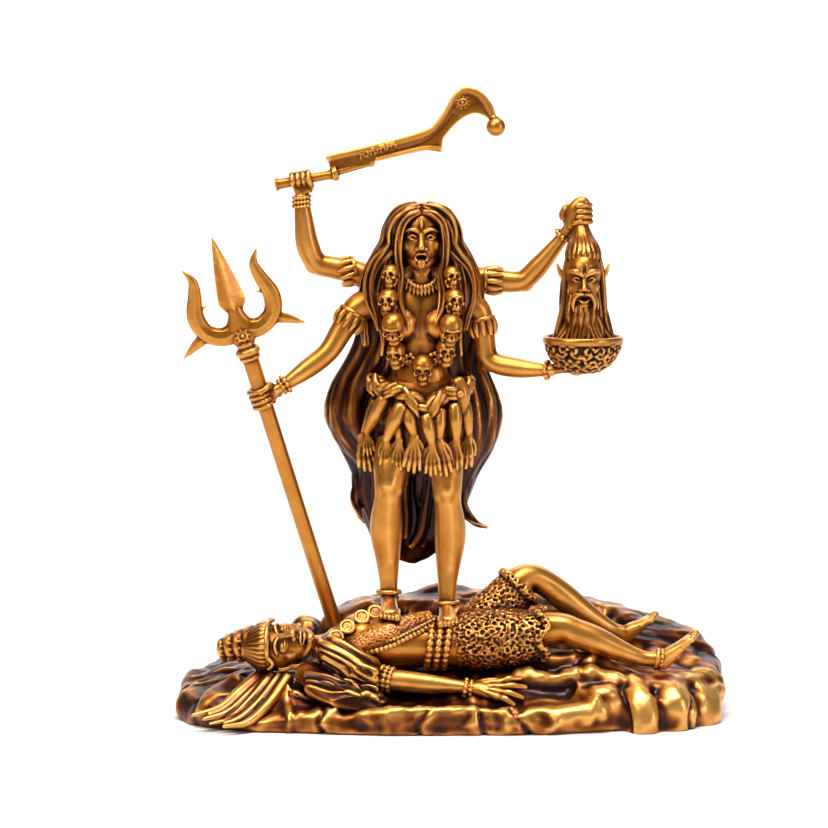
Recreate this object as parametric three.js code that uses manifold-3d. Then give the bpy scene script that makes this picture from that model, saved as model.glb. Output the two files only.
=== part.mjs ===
// A cast four-armed goddess standing on a god who lies on a rock. The rock and the lying figure are one
// casting, the standing figure is another, and a trident and a sword are fitted into its hands.
// Millimetres, +Z up, the front faces -Y. The origin is the middle of the rock's underside.
import * as THREE from 'three';
import { mergeVertices } from 'three/addons/utils/BufferGeometryUtils.js';
import Module from 'manifold-3d';

const wasm = await Module();
wasm.setup();

// Driving dimensions
const baseLength = 193.6; // the rock, end to end
const baseDepth = 90; // the rock, front to back
const ledgeHeight = 10; // the step along the front that carries the lying arm
const bedHeight = 17; // the rock under the lying body
const ridgeHeight = 40; // the crest behind the lying body
const lyingLength = 166; // the lying figure, topknot to toes
const figureHeight = 144; // the standing figure, soles to the top of the hair
const shaftLength = 111; // the trident, foot to collar
const shaftRadius = 2.5;
const collarRadius = 4.3;
const prongSpan = 43; // the trident, collar to middle point
const socketDepth = 5; // how far the trident stands in the rock
const bladeLength = 61; // the sword, guard to the outside of its hook
const bladeThickness = 1.9;
const gripLength = 21;
const gripRadius = 1.45;
const ballRadius = 3.35; // the ball on the sword's point
const bowlRadius = 14;
const bowlWall = 1.5;
const fitGap = 0.3; // between one casting and the next

const V = (x, y, z) => new THREE.Vector3(x, y, z);
const { lerp, smoothstep, mapLinear, degToRad: radians } = THREE.MathUtils;
const upright = V(0, 0, 1);
const sides = [-1, 1]; // the figure's right and left
const ringWidth = 2.4; // bracelets, armlets and anklets, in a carving's own units
const ringLift = 1.1;
const gold = { color: 0xb9812f, roughness: 0.34, metalness: 0.85 };

// Turns a closed geometry into a solid.
function solid(geometry) {
  const bare = geometry.index ? geometry.toNonIndexed() : geometry;
  const points = new THREE.BufferGeometry().setAttribute('position', bare.getAttribute('position'));
  const merged = mergeVertices(points, 1e-4);
  return new wasm.Manifold(new wasm.Mesh({
    numProp: 3,
    vertProperties: merged.attributes.position.array,
    triVerts: new Uint32Array(merged.index.array),
  }));
}

// A closed skin over rings of points, turned to face out. Each end closes on a middle point of its own.
function skin(rings, startBulge = V(0, 0, 0), endBulge = V(0, 0, 0)) {
  const count = rings[0].length;
  const middle = (ring) => ring.reduce((sum, p) => sum.add(p), V(0, 0, 0)).divideScalar(count);
  const points = [...rings.flat(), middle(rings[0]).add(startBulge), middle(rings.at(-1)).add(endBulge)];
  const start = points.length - 2;
  const last = (rings.length - 1) * count;
  const faces = [];
  for (let i = 0; i < count; i++) {
    const next = (i + 1) % count;
    faces.push([start, next, i], [start + 1, last + i, last + next]);
    for (let row = 0; row < last; row += count) {
      faces.push([row + i, row + next, row + count + next], [row + i, row + count + next, row + count + i]);
    }
  }
  const wedge = ([a, b, c]) => points[a].dot(V(0, 0, 0).crossVectors(points[b], points[c]));
  const volume = faces.reduce((sum, face) => sum + wedge(face), 0);
  const order = volume < 0 ? faces.map(([a, b, c]) => [a, c, b]) : faces;
  return new THREE.BufferGeometry()
    .setAttribute('position', new THREE.Float32BufferAttribute(points.flatMap((p) => p.toArray()), 3))
    .setIndex(order.flat());
}

// A limb follows a smooth line through its stations. A station is [point, half width, half depth], and the
// depth is measured along `across`. A limb can wear rings, at shares of its length, and end in fingers.
function limb(stations, {
  around = 6,
  steps = stations.length - 1,
  across = V(0, 1, 0),
  blunt = 0.5,
  rings = [],
  notch = 0,
} = {}) {
  const line = new THREE.CatmullRomCurve3(stations.map(([point]) => point));
  const girth = new THREE.CatmullRomCurve3(stations.map(([, wide, deep = wide]) => V(wide, deep, 0)));
  const ringShare = ringWidth / 2 / line.getLength();
  const shares = [
    ...Array.from({ length: steps + 1 }, (_, i) => i / steps),
    ...rings.flatMap((share) => [share - ringShare, share, share + ringShare]),
  ].sort((a, b) => a - b);
  const loops = shares.map((share) => {
    const along = line.getTangent(share);
    const swell = rings.includes(share) ? ringLift : 0;
    const size = girth.getPoint(share).addScalar(swell);
    const deep = across.clone().addScaledVector(along, -across.dot(along)).normalize();
    const wide = V(0, 0, 0).crossVectors(along, deep);
    return Array.from({ length: around }, (_, i) => line.getPoint(share)
      .addScaledVector(along, share === 1 && i % 2 ? -notch : 0)
      .addScaledVector(wide, size.x * Math.cos((2 * Math.PI * i) / around))
      .addScaledVector(deep, size.y * Math.sin((2 * Math.PI * i) / around)));
  });
  const bulge = (share, way) => line.getTangent(share).multiplyScalar(way * blunt * girth.getPoint(share).x);
  return skin(loops, bulge(0, -1), bulge(1, 1));
}

function ball(centre, size, around = 7, tall = 5) {
  return new THREE.SphereGeometry(1, around, tall)
    .rotateX(Math.PI / 2)
    .scale(...size.toArray())
    .translate(...centre.toArray());
}

// A ring worn round a limb: a short, fat bead with the limb through it.
function band(centre, along, radius, half, around = 7) {
  const reach = along.clone().normalize().multiplyScalar(half);
  const across = V(reach.z, reach.x, reach.y);
  return limb([[centre.clone().sub(reach), radius], [centre.clone().add(reach), radius]], {
    around,
    across,
    blunt: 0,
  });
}

// Fused shapes can trap small voids, and cuts can leave crumbs. A casting has neither.
function casting(parts, cuts = []) {
  const whole = cuts.reduce((rest, cut) => rest.subtract(cut), parts.reduce((sum, part) => sum.add(part)));
  return whole.decompose().filter((body) => body.volume() > 1).reduce((sum, body) => sum.add(body));
}

// One carving: shapes laid out in its own units, then set in the object's frame at its real size.
class Carving {
  constructor(origin, unit) {
    this.matrix = new THREE.Matrix4().compose(origin, new THREE.Quaternion(), V(unit, unit, unit));
    this.parts = [];
  }
  add(...geometries) {
    this.parts.push(...geometries.map((geometry) => solid(geometry.applyMatrix4(this.matrix))));
  }
  place(point) {
    return point.clone().applyMatrix4(this.matrix);
  }
}

function meshOf(name, body) {
  const cut = body.getMesh();
  const geometry = new THREE.BufferGeometry()
    .setAttribute('position', new THREE.BufferAttribute(cut.vertProperties, 3))
    .setIndex(new THREE.BufferAttribute(cut.triVerts, 1));
  geometry.computeVertexNormals();
  const mesh = new THREE.Mesh(geometry, new THREE.MeshStandardMaterial(gold));
  mesh.name = name;
  return mesh;
}

// The rock's outline, in shares of its half length and half depth.
const outline = Array.from({ length: 32 }, (_, i) => {
  const angle = (2 * Math.PI * i) / 32;
  const lobes = 0.03 * Math.sin(3 * angle + 0.6) + 0.025 * Math.sin(7 * angle);
  const chips = 0.015 * Math.sin(12 * angle + 2);
  const frontRightCorner = 0.08 * Math.exp(-(((angle - 5.5) / 0.35) ** 2));
  const reach = 1 + lobes + chips - frontRightCorner;
  const squared = (value) => Math.sign(value) * Math.abs(value) ** 0.55;
  return new THREE.Vector2(squared(Math.cos(angle)) * reach, squared(Math.sin(angle)) * reach);
});
const { min, max } = new THREE.Box2().setFromPoints(outline);
const rockEdge = outline.map(({ x, y }) => [
  mapLinear(x, min.x, max.x, -1, 1),
  mapLinear(y, min.y, max.y, -1, 1),
]);

// The crest behind the body, as [place along the half length, share of the ridge's height].
const crest = [
  [-1, 0.18],
  [-0.76, 0.28],
  [-0.52, 0.45],
  [-0.46, 0.78],
  [-0.32, 0.94],
  [-0.1, 0.98],
  [0.42, 0.98],
  [0.6, 0.88],
  [0.88, 0.66],
  [1, 0.5],
];

function crestHeight(x) {
  const i = crest.findIndex(([place], index) => x <= place || index === crest.length - 1);
  const [from, to] = [crest[Math.max(i - 1, 0)], crest[i]];
  return ridgeHeight * (i ? mapLinear(x, from[0], to[0], from[1], to[1]) : to[1]);
}

function rockHeight(x, y) {
  const inside = smoothstep(y, -0.62, -0.35) * smoothstep(x, -0.86, -0.62) * (1 - smoothstep(x, 0.84, 1));
  const bed = lerp(ledgeHeight, bedHeight, inside);
  const rise = smoothstep(y, -0.1, 0.34) * (1 - 0.5 * smoothstep(y, 0.6, 0.95));
  const facets = 1.3 * Math.sin(13 * x + 5 * y) * Math.sin(9 * y - 6 * x + 1);
  return lerp(bed, Math.max(bed, crestHeight(x)), rise) + facets;
}

function rock() {
  const ring = (share, height) => rockEdge.map(([x, y]) => V(
    (x * share * baseLength) / 2,
    (y * share * baseDepth) / 2,
    height(x * share, y * share),
  ));
  const wall = (x, y) => 0.5 * rockHeight(x * 0.96, y * 0.96);
  const top = [0.96, 0.82, 0.66, 0.47, 0.26].map((share) => ring(share, rockHeight));
  return skin([ring(0.985, () => 0), ring(1, wall), ...top]);
}

// The lying figure, head at -X, in units of a 166th of its length, with its zero under the hips.
const lying = new Carving(V(0, -12, bedHeight), lyingLength / 166);
const chestTop = 19.4;

// The trunk, and the cloth round the hips down to the near knee
function lyingTrunk() {
  return limb([
    [V(-48, 0, 8), 3.6],
    [V(-41, -1, 8.5), 9, 6.5],
    [V(-32, 0, 9.5), 12.5, 9],
    [V(-21, 0, 10), 12.8, 9.6],
    [V(-10, 0, 9.4), 11, 8.8],
    [V(-2, 0, 9), 10.4, 8.3],
    [V(7, 0, 10.6), 13.2, 10.8],
    [V(19, -1.6, 11.2), 13, 10.8],
    [V(31, -2.5, 12.4), 8.8, 8],
  ], { around: 9, across: upright, blunt: 0.1, rings: [0.63] });
}

function lyingLimbs() {
  return [
    // The far leg, bent at the knee
    limb([
      [V(9, 5, 13), 9],
      [V(22, 9, 27.6), 7],
      [V(28, 10, 31), 5],
      [V(35, 11, 27.6), 4.6],
      [V(45, 12.5, 19.8), 4.2],
      [V(57, 14, 11.6), 2.6],
      [V(62, 13.8, 11), 2.8],
      [V(70, 13.5, 16.8), 1.4, 2.2],
    ], { across: V(0.2, 1, 0) }),
    // The near leg, stretched out
    limb([
      [V(26, -3, 13), 7],
      [V(37, -3.5, 15.5), 5.5],
      [V(48, -4, 12), 4.6],
      [V(60, -4, 7), 3.4],
      [V(70, -4, 3.8), 2.8],
      [V(76, -4.4, 5), 4, 3],
      [V(85, -5, 14), 1.6, 2.8],
    ], { across: V(0.2, 1, 0), rings: [0.78] }),
    // The near arm, with its hand on the ledge, and the far arm
    limb([
      [V(-39, -10, 8), 6],
      [V(-29, -14, 4.5), 5],
      [V(-20, -17, 0.6), 4.2],
      [V(-8, -18, -1), 4.2],
      [V(4, -19, -3), 2.6, 2.2],
      [V(13, -20, -4.2), 4.2, 1.9],
      [V(25, -21, -6), 5, 1.2],
    ], { around: 8, across: upright, blunt: 0, rings: [0.21, 0.66], notch: 8 }),
    limb([[V(-39, 8, 8.5), 6], [V(-29, 12, 6), 5], [V(-18, 13, 6), 4]], { across: upright }),
  ];
}

// The face looks up and to the front. Its features are laid out from the middle of the head.
const faceWay = V(0, -0.78, 0.62);

function lyingHead() {
  const side = V(0, 0, 0).crossVectors(V(1, 0, 0), faceWay);
  const on = (down, out, aside = 0) => V(-58 + down, -3, 9.6)
    .addScaledVector(faceWay, out)
    .addScaledVector(side, aside);
  return [
    limb([
      [on(-8, 0), 5],
      [on(-4.6, 0), 7.2],
      [on(1.5, 0), 7.4, 7],
      [on(6.4, 1), 4.6, 5],
      [on(9.4, 2.2), 1.8, 2],
    ], { around: 8, across: faceWay }),
    limb([[on(-1, 6), 0.8], [on(3, 8.4), 1.7], [on(4, 5.6), 1.3]], { around: 4 }),
    limb([[on(6, 4.8, -1.8), 0.6], [on(6, 6.2), 0.9], [on(6, 4.8, 1.8), 0.6]], { around: 4 }),
    // The band over the brow, and the hair bound up above the crown
    limb([[on(-6, 3, -6.4), 1.2], [on(-4.8, 6.8), 1.4], [on(-6, 3, 6.4), 1.2]], { around: 4 }),
    limb([
      [V(-63, -3, 10.4), 6.6],
      [V(-69, -2, 9.8), 3.8],
      [V(-72.5, -1.8, 9), 4],
      [V(-75, -1.6, 8.4), 2.6],
      [V(-81, -0.6, 6.6), 3],
    ], { across: upright, blunt: 0.2 }),
  ];
}

// Locks run from the nape over the front of the rock.
function lyingLocks() {
  return [0, 1, 2, 3].map((i) => limb([
    [V(-60 + 3 * i, -6, 4), 2.8, 2.2],
    [V(-66 + 4.6 * i, -15, 0.6), 2.5, 2],
    [V(-74 + 5.6 * i, -23, -5), 2, 1.7],
    [V(-80 + 6.4 * i, -26.4 - 0.6 * i, -12.4), 1.1, 1.1],
  ], { around: 5, across: V(0, -0.6, 0.8) }));
}

// A garland of rings, and a sash with a rope of beads beside it
function lyingOrnaments() {
  const string = new THREE.CatmullRomCurve3([
    V(-41, -9, 13.4),
    V(-36, -6.4, 17),
    V(-31, -1, 19.2),
    V(-27, 5, 19),
  ]);
  const beads = [0, 1, 2, 3, 4].map((i) => band(string.getPoint(i / 4), faceWay, 2.2, 1.4, 5));
  const sash = (thick, along, down) => limb([
    [V(-38 + along, -8.6 - down, 12.8 - down), thick],
    [V(-24 + along, -10.4 - down, 15.4 - down), thick],
    [V(-8 + along, -7.8 - down, 15.8 - down), thick],
  ], { around: 4, across: faceWay });
  return [...beads, sash(1.5, 0, 0), sash(1.1, 3, 1.6)];
}

lying.add(lyingTrunk(), ...lyingLimbs(), ...lyingHead(), ...lyingLocks(), ...lyingOrnaments());

// The standing figure, in units of a 144th of its height, with its zero between the soles.
const standing = new Carving(lying.place(V(-11.5, 6, chestTop - 0.4)), figureHeight / 144);
const swordFist = V(-40.9, 6, 151.4);
const tridentFist = V(-54.2, -3, 76.6);
const scalpFist = V(56.2, 4, 139.4);
const bowlRim = V(56.8, -6, 98.2);

function body() {
  // The shin bends into the foot, and both widths of the foot are set apart.
  const leg = (...stations) => limb(stations, { across: V(1, 0, 0), blunt: 0.2, rings: [0.72] });
  return [
    limb([
      [V(0.8, 5.5, 56), 14.4, 9.6],
      [V(0.8, 5.5, 68), 15, 9.6],
      [V(0.7, 5.5, 78), 11.8, 7.8],
      [V(0.4, 5, 87), 9.8, 6.6],
      [V(0.4, 5, 97), 11.4, 7],
      [V(0.6, 5, 107), 14.6, 7.2],
      [V(0.8, 6, 113.5), 12.6, 6],
      [V(1, 6, 118), 4.6, 4.4],
      [V(1.1, 4.5, 125), 3.9, 4.2],
    ], { around: 8, blunt: 0.1 }),
    ball(V(-5.6, -1.6, 101.2), V(5.8, 5.6, 5.4), 6, 5),
    ball(V(7.2, -1.6, 101.2), V(5.8, 5.6, 5.4), 6, 5),
    leg(
      [V(-8.2, 3.4, 58), 6.6],
      [V(-10.3, -2.6, 46), 5.4],
      [V(-10.9, -1.2, 37), 5, 4.8],
      [V(-11, 1.4, 28), 5.2, 5.6],
      [V(-10.7, 2, 17), 3.8, 4.2],
      [V(-10.4, 2, 7), 3],
      [V(-10.3, -2, 3.2), 2.8, 3],
      [V(-10, -13.4, 1.4), 1.3, 3.8],
    ),
    leg(
      [V(9, 4, 56), 6.8],
      [V(9.9, 1.2, 43), 5.2],
      [V(10.2, 2.6, 34), 5, 4.8],
      [V(10.6, 4, 25), 5.2, 5.6],
      [V(10.3, 3.4, 13), 3.8, 4.2],
      [V(9.9, 2.2, 4), 3],
      [V(10, -2, 0.4), 2.8, 3],
      [V(10.2, -13.4, -1.4), 1.3, 3.8],
    ),
  ];
}

// A closed hand round a bar: four finger ridges side by side along the bar.
function fist(centre, bar, size = 1) {
  const along = bar.clone().normalize().multiplyScalar(size);
  const ridges = [2.4, 3.7, 3, 3.8, 3.1, 3.8, 3, 3.7, 2.4];
  return limb(ridges.map((radius, i) => [centre.clone().addScaledVector(along, i - 4), radius * size]), {
    around: 5,
    blunt: 0.2,
  });
}

function arms() {
  return [
    // The raised right arm, with the sword
    limb([
      [V(-12, 9.4, 113), 4.8],
      [V(-21, 10, 118.6), 4.4],
      [V(-29, 10, 120.6), 4],
      [V(-36.2, 9.8, 122), 4],
      [V(-39, 8.6, 129), 4.2],
      [V(-40, 7.2, 138), 3.4],
      [V(-41, 6.6, 147.5), 2.6],
    ], { rings: [0.2, 0.93] }),
    fist(swordFist, V(20.8, 0, 3.8)),
    // The raised left arm, with the severed head
    limb([
      [V(13, 9.4, 112.5), 4.8],
      [V(21.5, 10, 116.8), 4.2],
      [V(29, 10, 116), 4],
      [V(36.8, 9.8, 115.8), 3.7],
      [V(42, 8.6, 121.4), 3.6],
      [V(49, 6.4, 130), 2.5],
      [V(53.6, 5, 136.6), 2.4],
    ], { rings: [0.22, 0.86] }),
    fist(scalpFist, V(0.1, 0, -1), 1.2),
    // The lowered right arm, with the trident
    limb([
      [V(-13.6, 5, 109.4), 5.6],
      [V(-20.8, 4.4, 107.2), 5.3],
      [V(-26.4, 3.4, 99.8), 4.3],
      [V(-31.4, 1.6, 92), 3.9],
      [V(-39, -0.6, 86), 3.6],
      [V(-47, -2.2, 80.4), 2.3],
      [V(-52, -2.6, 77.4), 2.3],
    ], { rings: [0.24, 0.88] }),
    fist(tridentFist, V(-0.3, -0.1, 1)),
    // The lowered left arm, with its hand under the bowl
    limb([
      [V(15.4, 5, 109), 5.6],
      [V(20.8, 5, 105.6), 4.8],
      [V(22.8, 4.6, 97), 4],
      [V(25, 4, 88.4), 3.7],
      [V(34, 0.8, 86.4), 3.6],
      [V(43.6, -3.6, 86), 2.4],
      [V(49, -5, 86.8), 3.6, 2.8],
      [V(60, -6, 86), 4, 1.4],
    ], { across: V(0.2, 0.1, 1), rings: [0.24, 0.72] }),
  ];
}

function head() {
  return [
    limb([
      [V(1, 4, 143), 4.4],
      [V(1, 4, 139), 6.4, 7.4],
      [V(1, 4, 132), 6.6, 7.6],
      [V(1, 2.6, 126), 5, 6],
      [V(1, 0, 122.4), 2.2, 2.4],
    ], { around: 8 }),
    limb([[V(1, -2.4, 133.6), 0.8], [V(1, -4.6, 129.4), 1.6], [V(1, -1.8, 128.6), 1.5]], { around: 4 }),
    limb([[V(-4, -1, 134.4), 0.8], [V(1, -3.6, 134), 0.9], [V(6, -1, 134.4), 0.8]], { around: 4 }),
    limb([[V(-1.4, -1.2, 125.8), 1.2], [V(1, -2.8, 125.6), 1.7], [V(3.4, -1.2, 125.8), 1.2]], { around: 4 }),
  ];
}

// The mane behind the body, in rings of [height, middle, half width, depth place, half depth].
const maneRings = [
  [142.2, 0.8, 7.4, 5, 5.6],
  [137.6, 0.8, 10.6, 6.4, 7.8],
  [127, 0.8, 14.6, 9, 7.4],
  [117, 0.8, 18.4, 12, 6.4],
  [97, -0.4, 19.8, 14.2, 6],
  [86, -1.4, 23, 15.6, 6.8],
  [76, -2, 27.8, 17, 8],
  [64, -1.2, 29, 17, 8.2],
  [52, -0.2, 21.6, 17.2, 7.6],
  [41, -2.3, 19.4, 17.8, 6.6],
  [29, -1.8, 15.6, 18, 5.8],
  [15.6, -3.4, 8, 18.2, 4],
];

function mane() {
  const locks = 7;
  const ridgedRing = ([z, middle, half, place, deep]) => Array.from({ length: 2 * locks }, (_, i) => {
    const angle = (Math.PI * (i + 0.5)) / locks;
    const ridge = i % 2 ? 0.9 : -0.7;
    return V(middle + (half + ridge) * Math.cos(angle), place + (deep + ridge) * Math.sin(angle), z);
  });
  const swag = (way) => limb([
    [V(1 + 0.8 * way, -0.6, 141.4), 2],
    [V(1 + 6.4 * way, -1.2, 138), 2.6],
    [V(1 + 9.8 * way, 1, 127), 3.2],
    [V(1 + 14 * way, 1.4, 117), 3.6],
    [V(1 + 15.8 * way, 0, 107), 3.4],
    [V(1 + 14.6 * way, -2.4, 97), 2.8],
    [V(1 + 12.6 * way, -1, 85), 1.2],
  ], { around: 5 });
  const innerLock = (way) => limb([
    [V(1 + 6.6 * way, -0.6, 122), 1.7],
    [V(1 + 7 * way, -2.8, 112), 1.9],
    [V(1 + 4.4 * way, -6.2, 97.4), 0.9],
  ], { around: 4 });
  return [
    skin(maneRings.map(ridgedRing), V(0, 0, 1.8), V(0, 0, -1)),
    // The hair parts over the brow and falls in front of both shoulders
    ...sides.flatMap((way) => [swag(way), innerLock(way)]),
    // The loose curl at the left knee
    limb([[V(17, 15, 44), 2.6], [V(15.4, 14, 36), 2.4], [V(24.2, 13, 28.8), 0.8]], { around: 5, steps: 3 }),
  ];
}

// A skull: the dome, the cheeks and the narrow jaw in one loft.
function skull(centre, size) {
  const at = (height, depth) => centre.clone().add(V(0, depth * size, height * size));
  return limb([
    [at(0.9, 0), 0.55 * size],
    [at(0.1, 0), size],
    [at(-0.75, -0.2), 0.7 * size],
    [at(-1.9, -0.3), 0.5 * size],
  ], { around: 5, blunt: 0.3 });
}

// The garland of skulls: down one side, across the belly and up the other.
function garland() {
  return [
    skull(V(-9.6, -2.6, 119.6), 3),
    skull(V(-10.4, -4.4, 110.8), 3.6),
    skull(V(-8.8, -7.6, 102), 4.2),
    skull(V(-7.8, -2.6, 92.4), 3.5),
    skull(V(1.4, -3.2, 87.2), 3.9),
    skull(V(9.4, -2.6, 93.4), 3.5),
    skull(V(11.2, -7.6, 101.6), 4.2),
    skull(V(12.2, -4.4, 110.8), 3.6),
    skull(V(11.4, -2.6, 119), 3),
  ];
}

// The skirt: a twisted belt with severed arms that hang from it, fingers down.
function skirt() {
  const hips = V(0.8, 5.5, 0);
  const around = (angle, wide, deep, z) => hips.clone()
    .add(V(wide * Math.sin(radians(angle)), -deep * Math.cos(radians(angle)), z));
  const twists = 12;
  const beltRing = (z, size) => Array.from({ length: twists }, (_, i) => {
    const twist = size + i % 2;
    return around((360 * i) / twists, 15.6 + twist, 10 + twist, z - 2 * Math.cos((2 * Math.PI * i) / twists));
  });
  const severedArm = (angle, top, length, lean) => limb([
    [around(angle, 15.4, 10.2, top), 3.1],
    [around(angle + lean, 17.2, 12, top - 0.58 * length), 1.8],
    [around(angle + lean, 17.8, 12.6, top - 0.76 * length), 3.1, 1.3],
    [around(angle + lean, 17.8, 12.8, top - length), 3.3, 0.9],
  ], { around: 6, across: around(angle, 1, 1, 0).sub(hips), blunt: 0, notch: 4 });
  return [
    skin([beltRing(79.6, -2), beltRing(76.6, 1.4), beltRing(73.4, -0.4)]),
    severedArm(-72, 74, 25, 0),
    severedArm(-44, 73, 25, 5),
    severedArm(-14, 71, 21, -4),
    severedArm(8, 69, 22, 2),
    severedArm(30, 71, 22, -3),
    severedArm(50, 70, 19, 3),
    severedArm(74, 74, 24, 0),
  ];
}

// The bowl, and the bearded head that hangs over it by its hair.
function bowlAndHead() {
  const unit = figureHeight / 144;
  const radius = bowlRadius / unit;
  const inner = radius - bowlWall / unit;
  const under = (degrees) => new THREE.Vector2(
    (radius - 0.8) * Math.cos(radians(degrees)),
    -0.94 * radius * Math.sin(radians(degrees)),
  );
  const profile = [
    new THREE.Vector2(0, -0.94 * radius),
    ...[62, 34, 13].map(under),
    new THREE.Vector2(radius, -1.8),
    new THREE.Vector2(radius, 0),
    new THREE.Vector2(inner, 0),
    new THREE.Vector2(inner - 0.8, -3),
    new THREE.Vector2(0, -3),
  ];
  const on = (x, y, z) => V(56.8 + x, -5 + y, 117 + z);
  const spread = 0.7 * radius;
  return [
    new THREE.LatheGeometry(profile, 12).rotateX(Math.PI / 2).translate(...bowlRim.toArray()),
    limb([[on(0, 0, 9), 5], [on(0, 0, 4), 7.2], [on(0, -0.4, -3), 6.4], [on(0, -0.8, -9), 3.6]], {
      around: 7,
    }),
    limb([[on(0.2, 1.4, 4), 7.6, 6], [on(0, 4.6, 13), 4.8], [on(-0.6, 8.6, 22.5), 2.8]], { around: 7 }),
    // The beard and the hair behind it spread into the bowl
    limb([[on(0, -2.6, -4), 4.8, 3.8], [on(0.2, -1.4, -14), 7, 5.6], [on(0.4, -1, -22.6), spread, spread]], {
      around: 8,
      blunt: 0,
    }),
    limb([[on(0, 2.6, 3), 7.4, 4.4], [on(0, 2.8, -8), 8, 4.4], [on(0.4, 3, -22.6), spread, 6]], { blunt: 0 }),
    limb([[on(0, -6, 2), 0.9], [on(0, -8.6, -2), 1.8], [on(0, -5.4, -3), 1.5]], { around: 4 }),
    limb([[on(-5, -4.4, 4.8), 0.8], [on(0, -6.8, 3.4), 0.9], [on(5, -4.4, 4.8), 0.8]], { around: 4 }),
    limb([[on(-4.6, -4.6, -8), 0.8], [on(0, -6.8, -4.6), 1.3], [on(4.6, -4.6, -8), 0.8]], { around: 4 }),
    ...sides.map((way) => limb([[on(6 * way, -1, -1), 1.3], [on(9.2 * way, 0, 5), 0.4]], { around: 4 })),
  ];
}

standing.add(...body(), ...arms(), ...head(), ...mane(), ...garland(), ...skirt(), ...bowlAndHead());

// The sword lies along its own X axis, with its zero where the guard meets the blade.
function swordBody() {
  const to = (x, z) => [(x * bladeLength) / 60, (z * bladeLength) / 60];
  const edge = new THREE.Shape();
  edge.moveTo(...to(-1.4, 1.2));
  edge.lineTo(...to(31, 2.4));
  edge.quadraticCurveTo(...to(34.5, 2), ...to(36.8, 0.5));
  edge.lineTo(...to(38.4, 5.2));
  edge.quadraticCurveTo(...to(45, 11.6), ...to(50, 11.8));
  edge.quadraticCurveTo(...to(53.4, 11.4), ...to(55.4, 8));
  edge.lineTo(...to(57.6, 8.4));
  edge.bezierCurveTo(...to(57.6, 15), ...to(53.6, 21.2), ...to(49.2, 21.4));
  edge.bezierCurveTo(...to(43, 21.4), ...to(41.4, 14), ...to(35.3, 9.9));
  edge.quadraticCurveTo(...to(30, 8), ...to(-1.9, 6.7));
  const [eyeX, eyeZ] = to(47, 16.2);
  const [pointX, pointZ] = to(56.8, 8.6);
  return casting([
    new THREE.ExtrudeGeometry(edge, { depth: bladeThickness, bevelEnabled: false, curveSegments: 4 })
      .translate(0, 0, -bladeThickness / 2)
      .rotateX(Math.PI / 2),
    limb([
      [V(-gripLength, 0, 0), gripRadius * 1.45],
      [V(-0.9 * gripLength, 0, 0), gripRadius],
      [V(-0.1 * gripLength, 0, 0), gripRadius],
      [V(0.8, 0, 0), gripRadius * 1.6],
    ], { around: 8, blunt: 0.3 }),
    // The tang runs on under the blade
    limb([[V(0, 0, 0.4), 1.4], [V((12.5 * bladeLength) / 60, 0, 1.2), 0.8]], { around: 4 }),
    ball(V(pointX, 0, pointZ - 0.8 * ballRadius), V(ballRadius, ballRadius, ballRadius), 8, 6),
    band(V(eyeX, -bladeThickness / 2, eyeZ), V(0, 1, 0), bladeLength / 27, 0.5, 6),
  ].map(solid));
}

const gripTilt = radians(10.3);
const handOnGrip = 0.58 * gripLength; // from the guard back to the middle of the fist
const swordMatrix = new THREE.Matrix4()
  .compose(
    standing.place(swordFist),
    new THREE.Quaternion().setFromAxisAngle(V(0, 1, 0), -gripTilt),
    V(1, 1, 1),
  )
  .multiply(new THREE.Matrix4().makeTranslation(handOnGrip, 0, 0));

// The trident stands along its own Z axis, with its foot at zero and its prongs spread across the front.
const foot = V(-39.2, 8, 0);
foot.z = rockHeight(foot.x / (baseLength / 2), foot.y / (baseDepth / 2)) - socketDepth;
const shaftWay = standing.place(tridentFist).sub(foot).normalize();
const prongWay = V(0, 0, 0).crossVectors(V(0, 1, 0), shaftWay).normalize();
const tridentMatrix = new THREE.Matrix4()
  .makeBasis(prongWay, V(0, 0, 0).crossVectors(shaftWay, prongWay), shaftWay)
  .setPosition(foot);

function tridentBody() {
  const unit = prongSpan / 43;
  const up = (x, z, y = 0) => V(x * unit, y * unit, shaftLength + z * unit);
  const sized = (...stations) => stations.map(([at, wide, deep = wide]) => [at, wide * unit, deep * unit]);
  const prong = (way) => limb(sized(
    [up(0, 7), 3, 2],
    [up(7.6 * way, 8.4), 2.9, 1.9],
    [up(13 * way, 12), 2.5, 1.8],
    [up(14 * way, 18), 2.1, 1.6],
    [up(11 * way, 25), 1.7, 1.3],
    [up(11 * way, 30), 1.2, 1],
    [up(13.2 * way, 34.6), 0.4],
  ), { around: 5, steps: 6 });
  const barb = (way) => limb(sized(
    [up(12.6 * way, 11.4), 2, 1.4],
    [up(17 * way, 9), 1.4, 1],
    [up(21 * way, 6.8), 0.3],
  ), { around: 4 });
  const thorn = (way) => limb(sized([up(12.4 * way, 21), 1.1], [up(8.8 * way, 20), 0.3]), { around: 3 });
  return casting([
    limb([
      [V(0, 0, 0), shaftRadius],
      [V(0, 0, shaftLength - collarRadius / 2), shaftRadius],
      [V(0, 0, shaftLength), collarRadius],
      [V(0, 0, shaftLength + collarRadius / 2), 0.8 * collarRadius],
    ], { around: 8, blunt: 0 }),
    limb(sized([up(0, 0), 2.4], [up(0, 6), 3.6, 2.4], [up(0, 12), 2.2], [up(0, 16), 2, 1.8]), { around: 6 }),
    limb(sized([up(0, 14), 2, 1.6], [up(0, 22.6), 4.9, 2.4], [up(0, 33), 2.6, 1.6], [up(0, 42.6), 0.4]), {
      around: 4,
      steps: 4,
    }),
    ...sides.flatMap((way) => [prong(way), barb(way), thorn(way)]),
    band(up(0, 6.2, -2), V(0, 1, 0), 2 * unit, 0.9 * unit, 6),
  ].map(solid));
}

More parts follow.
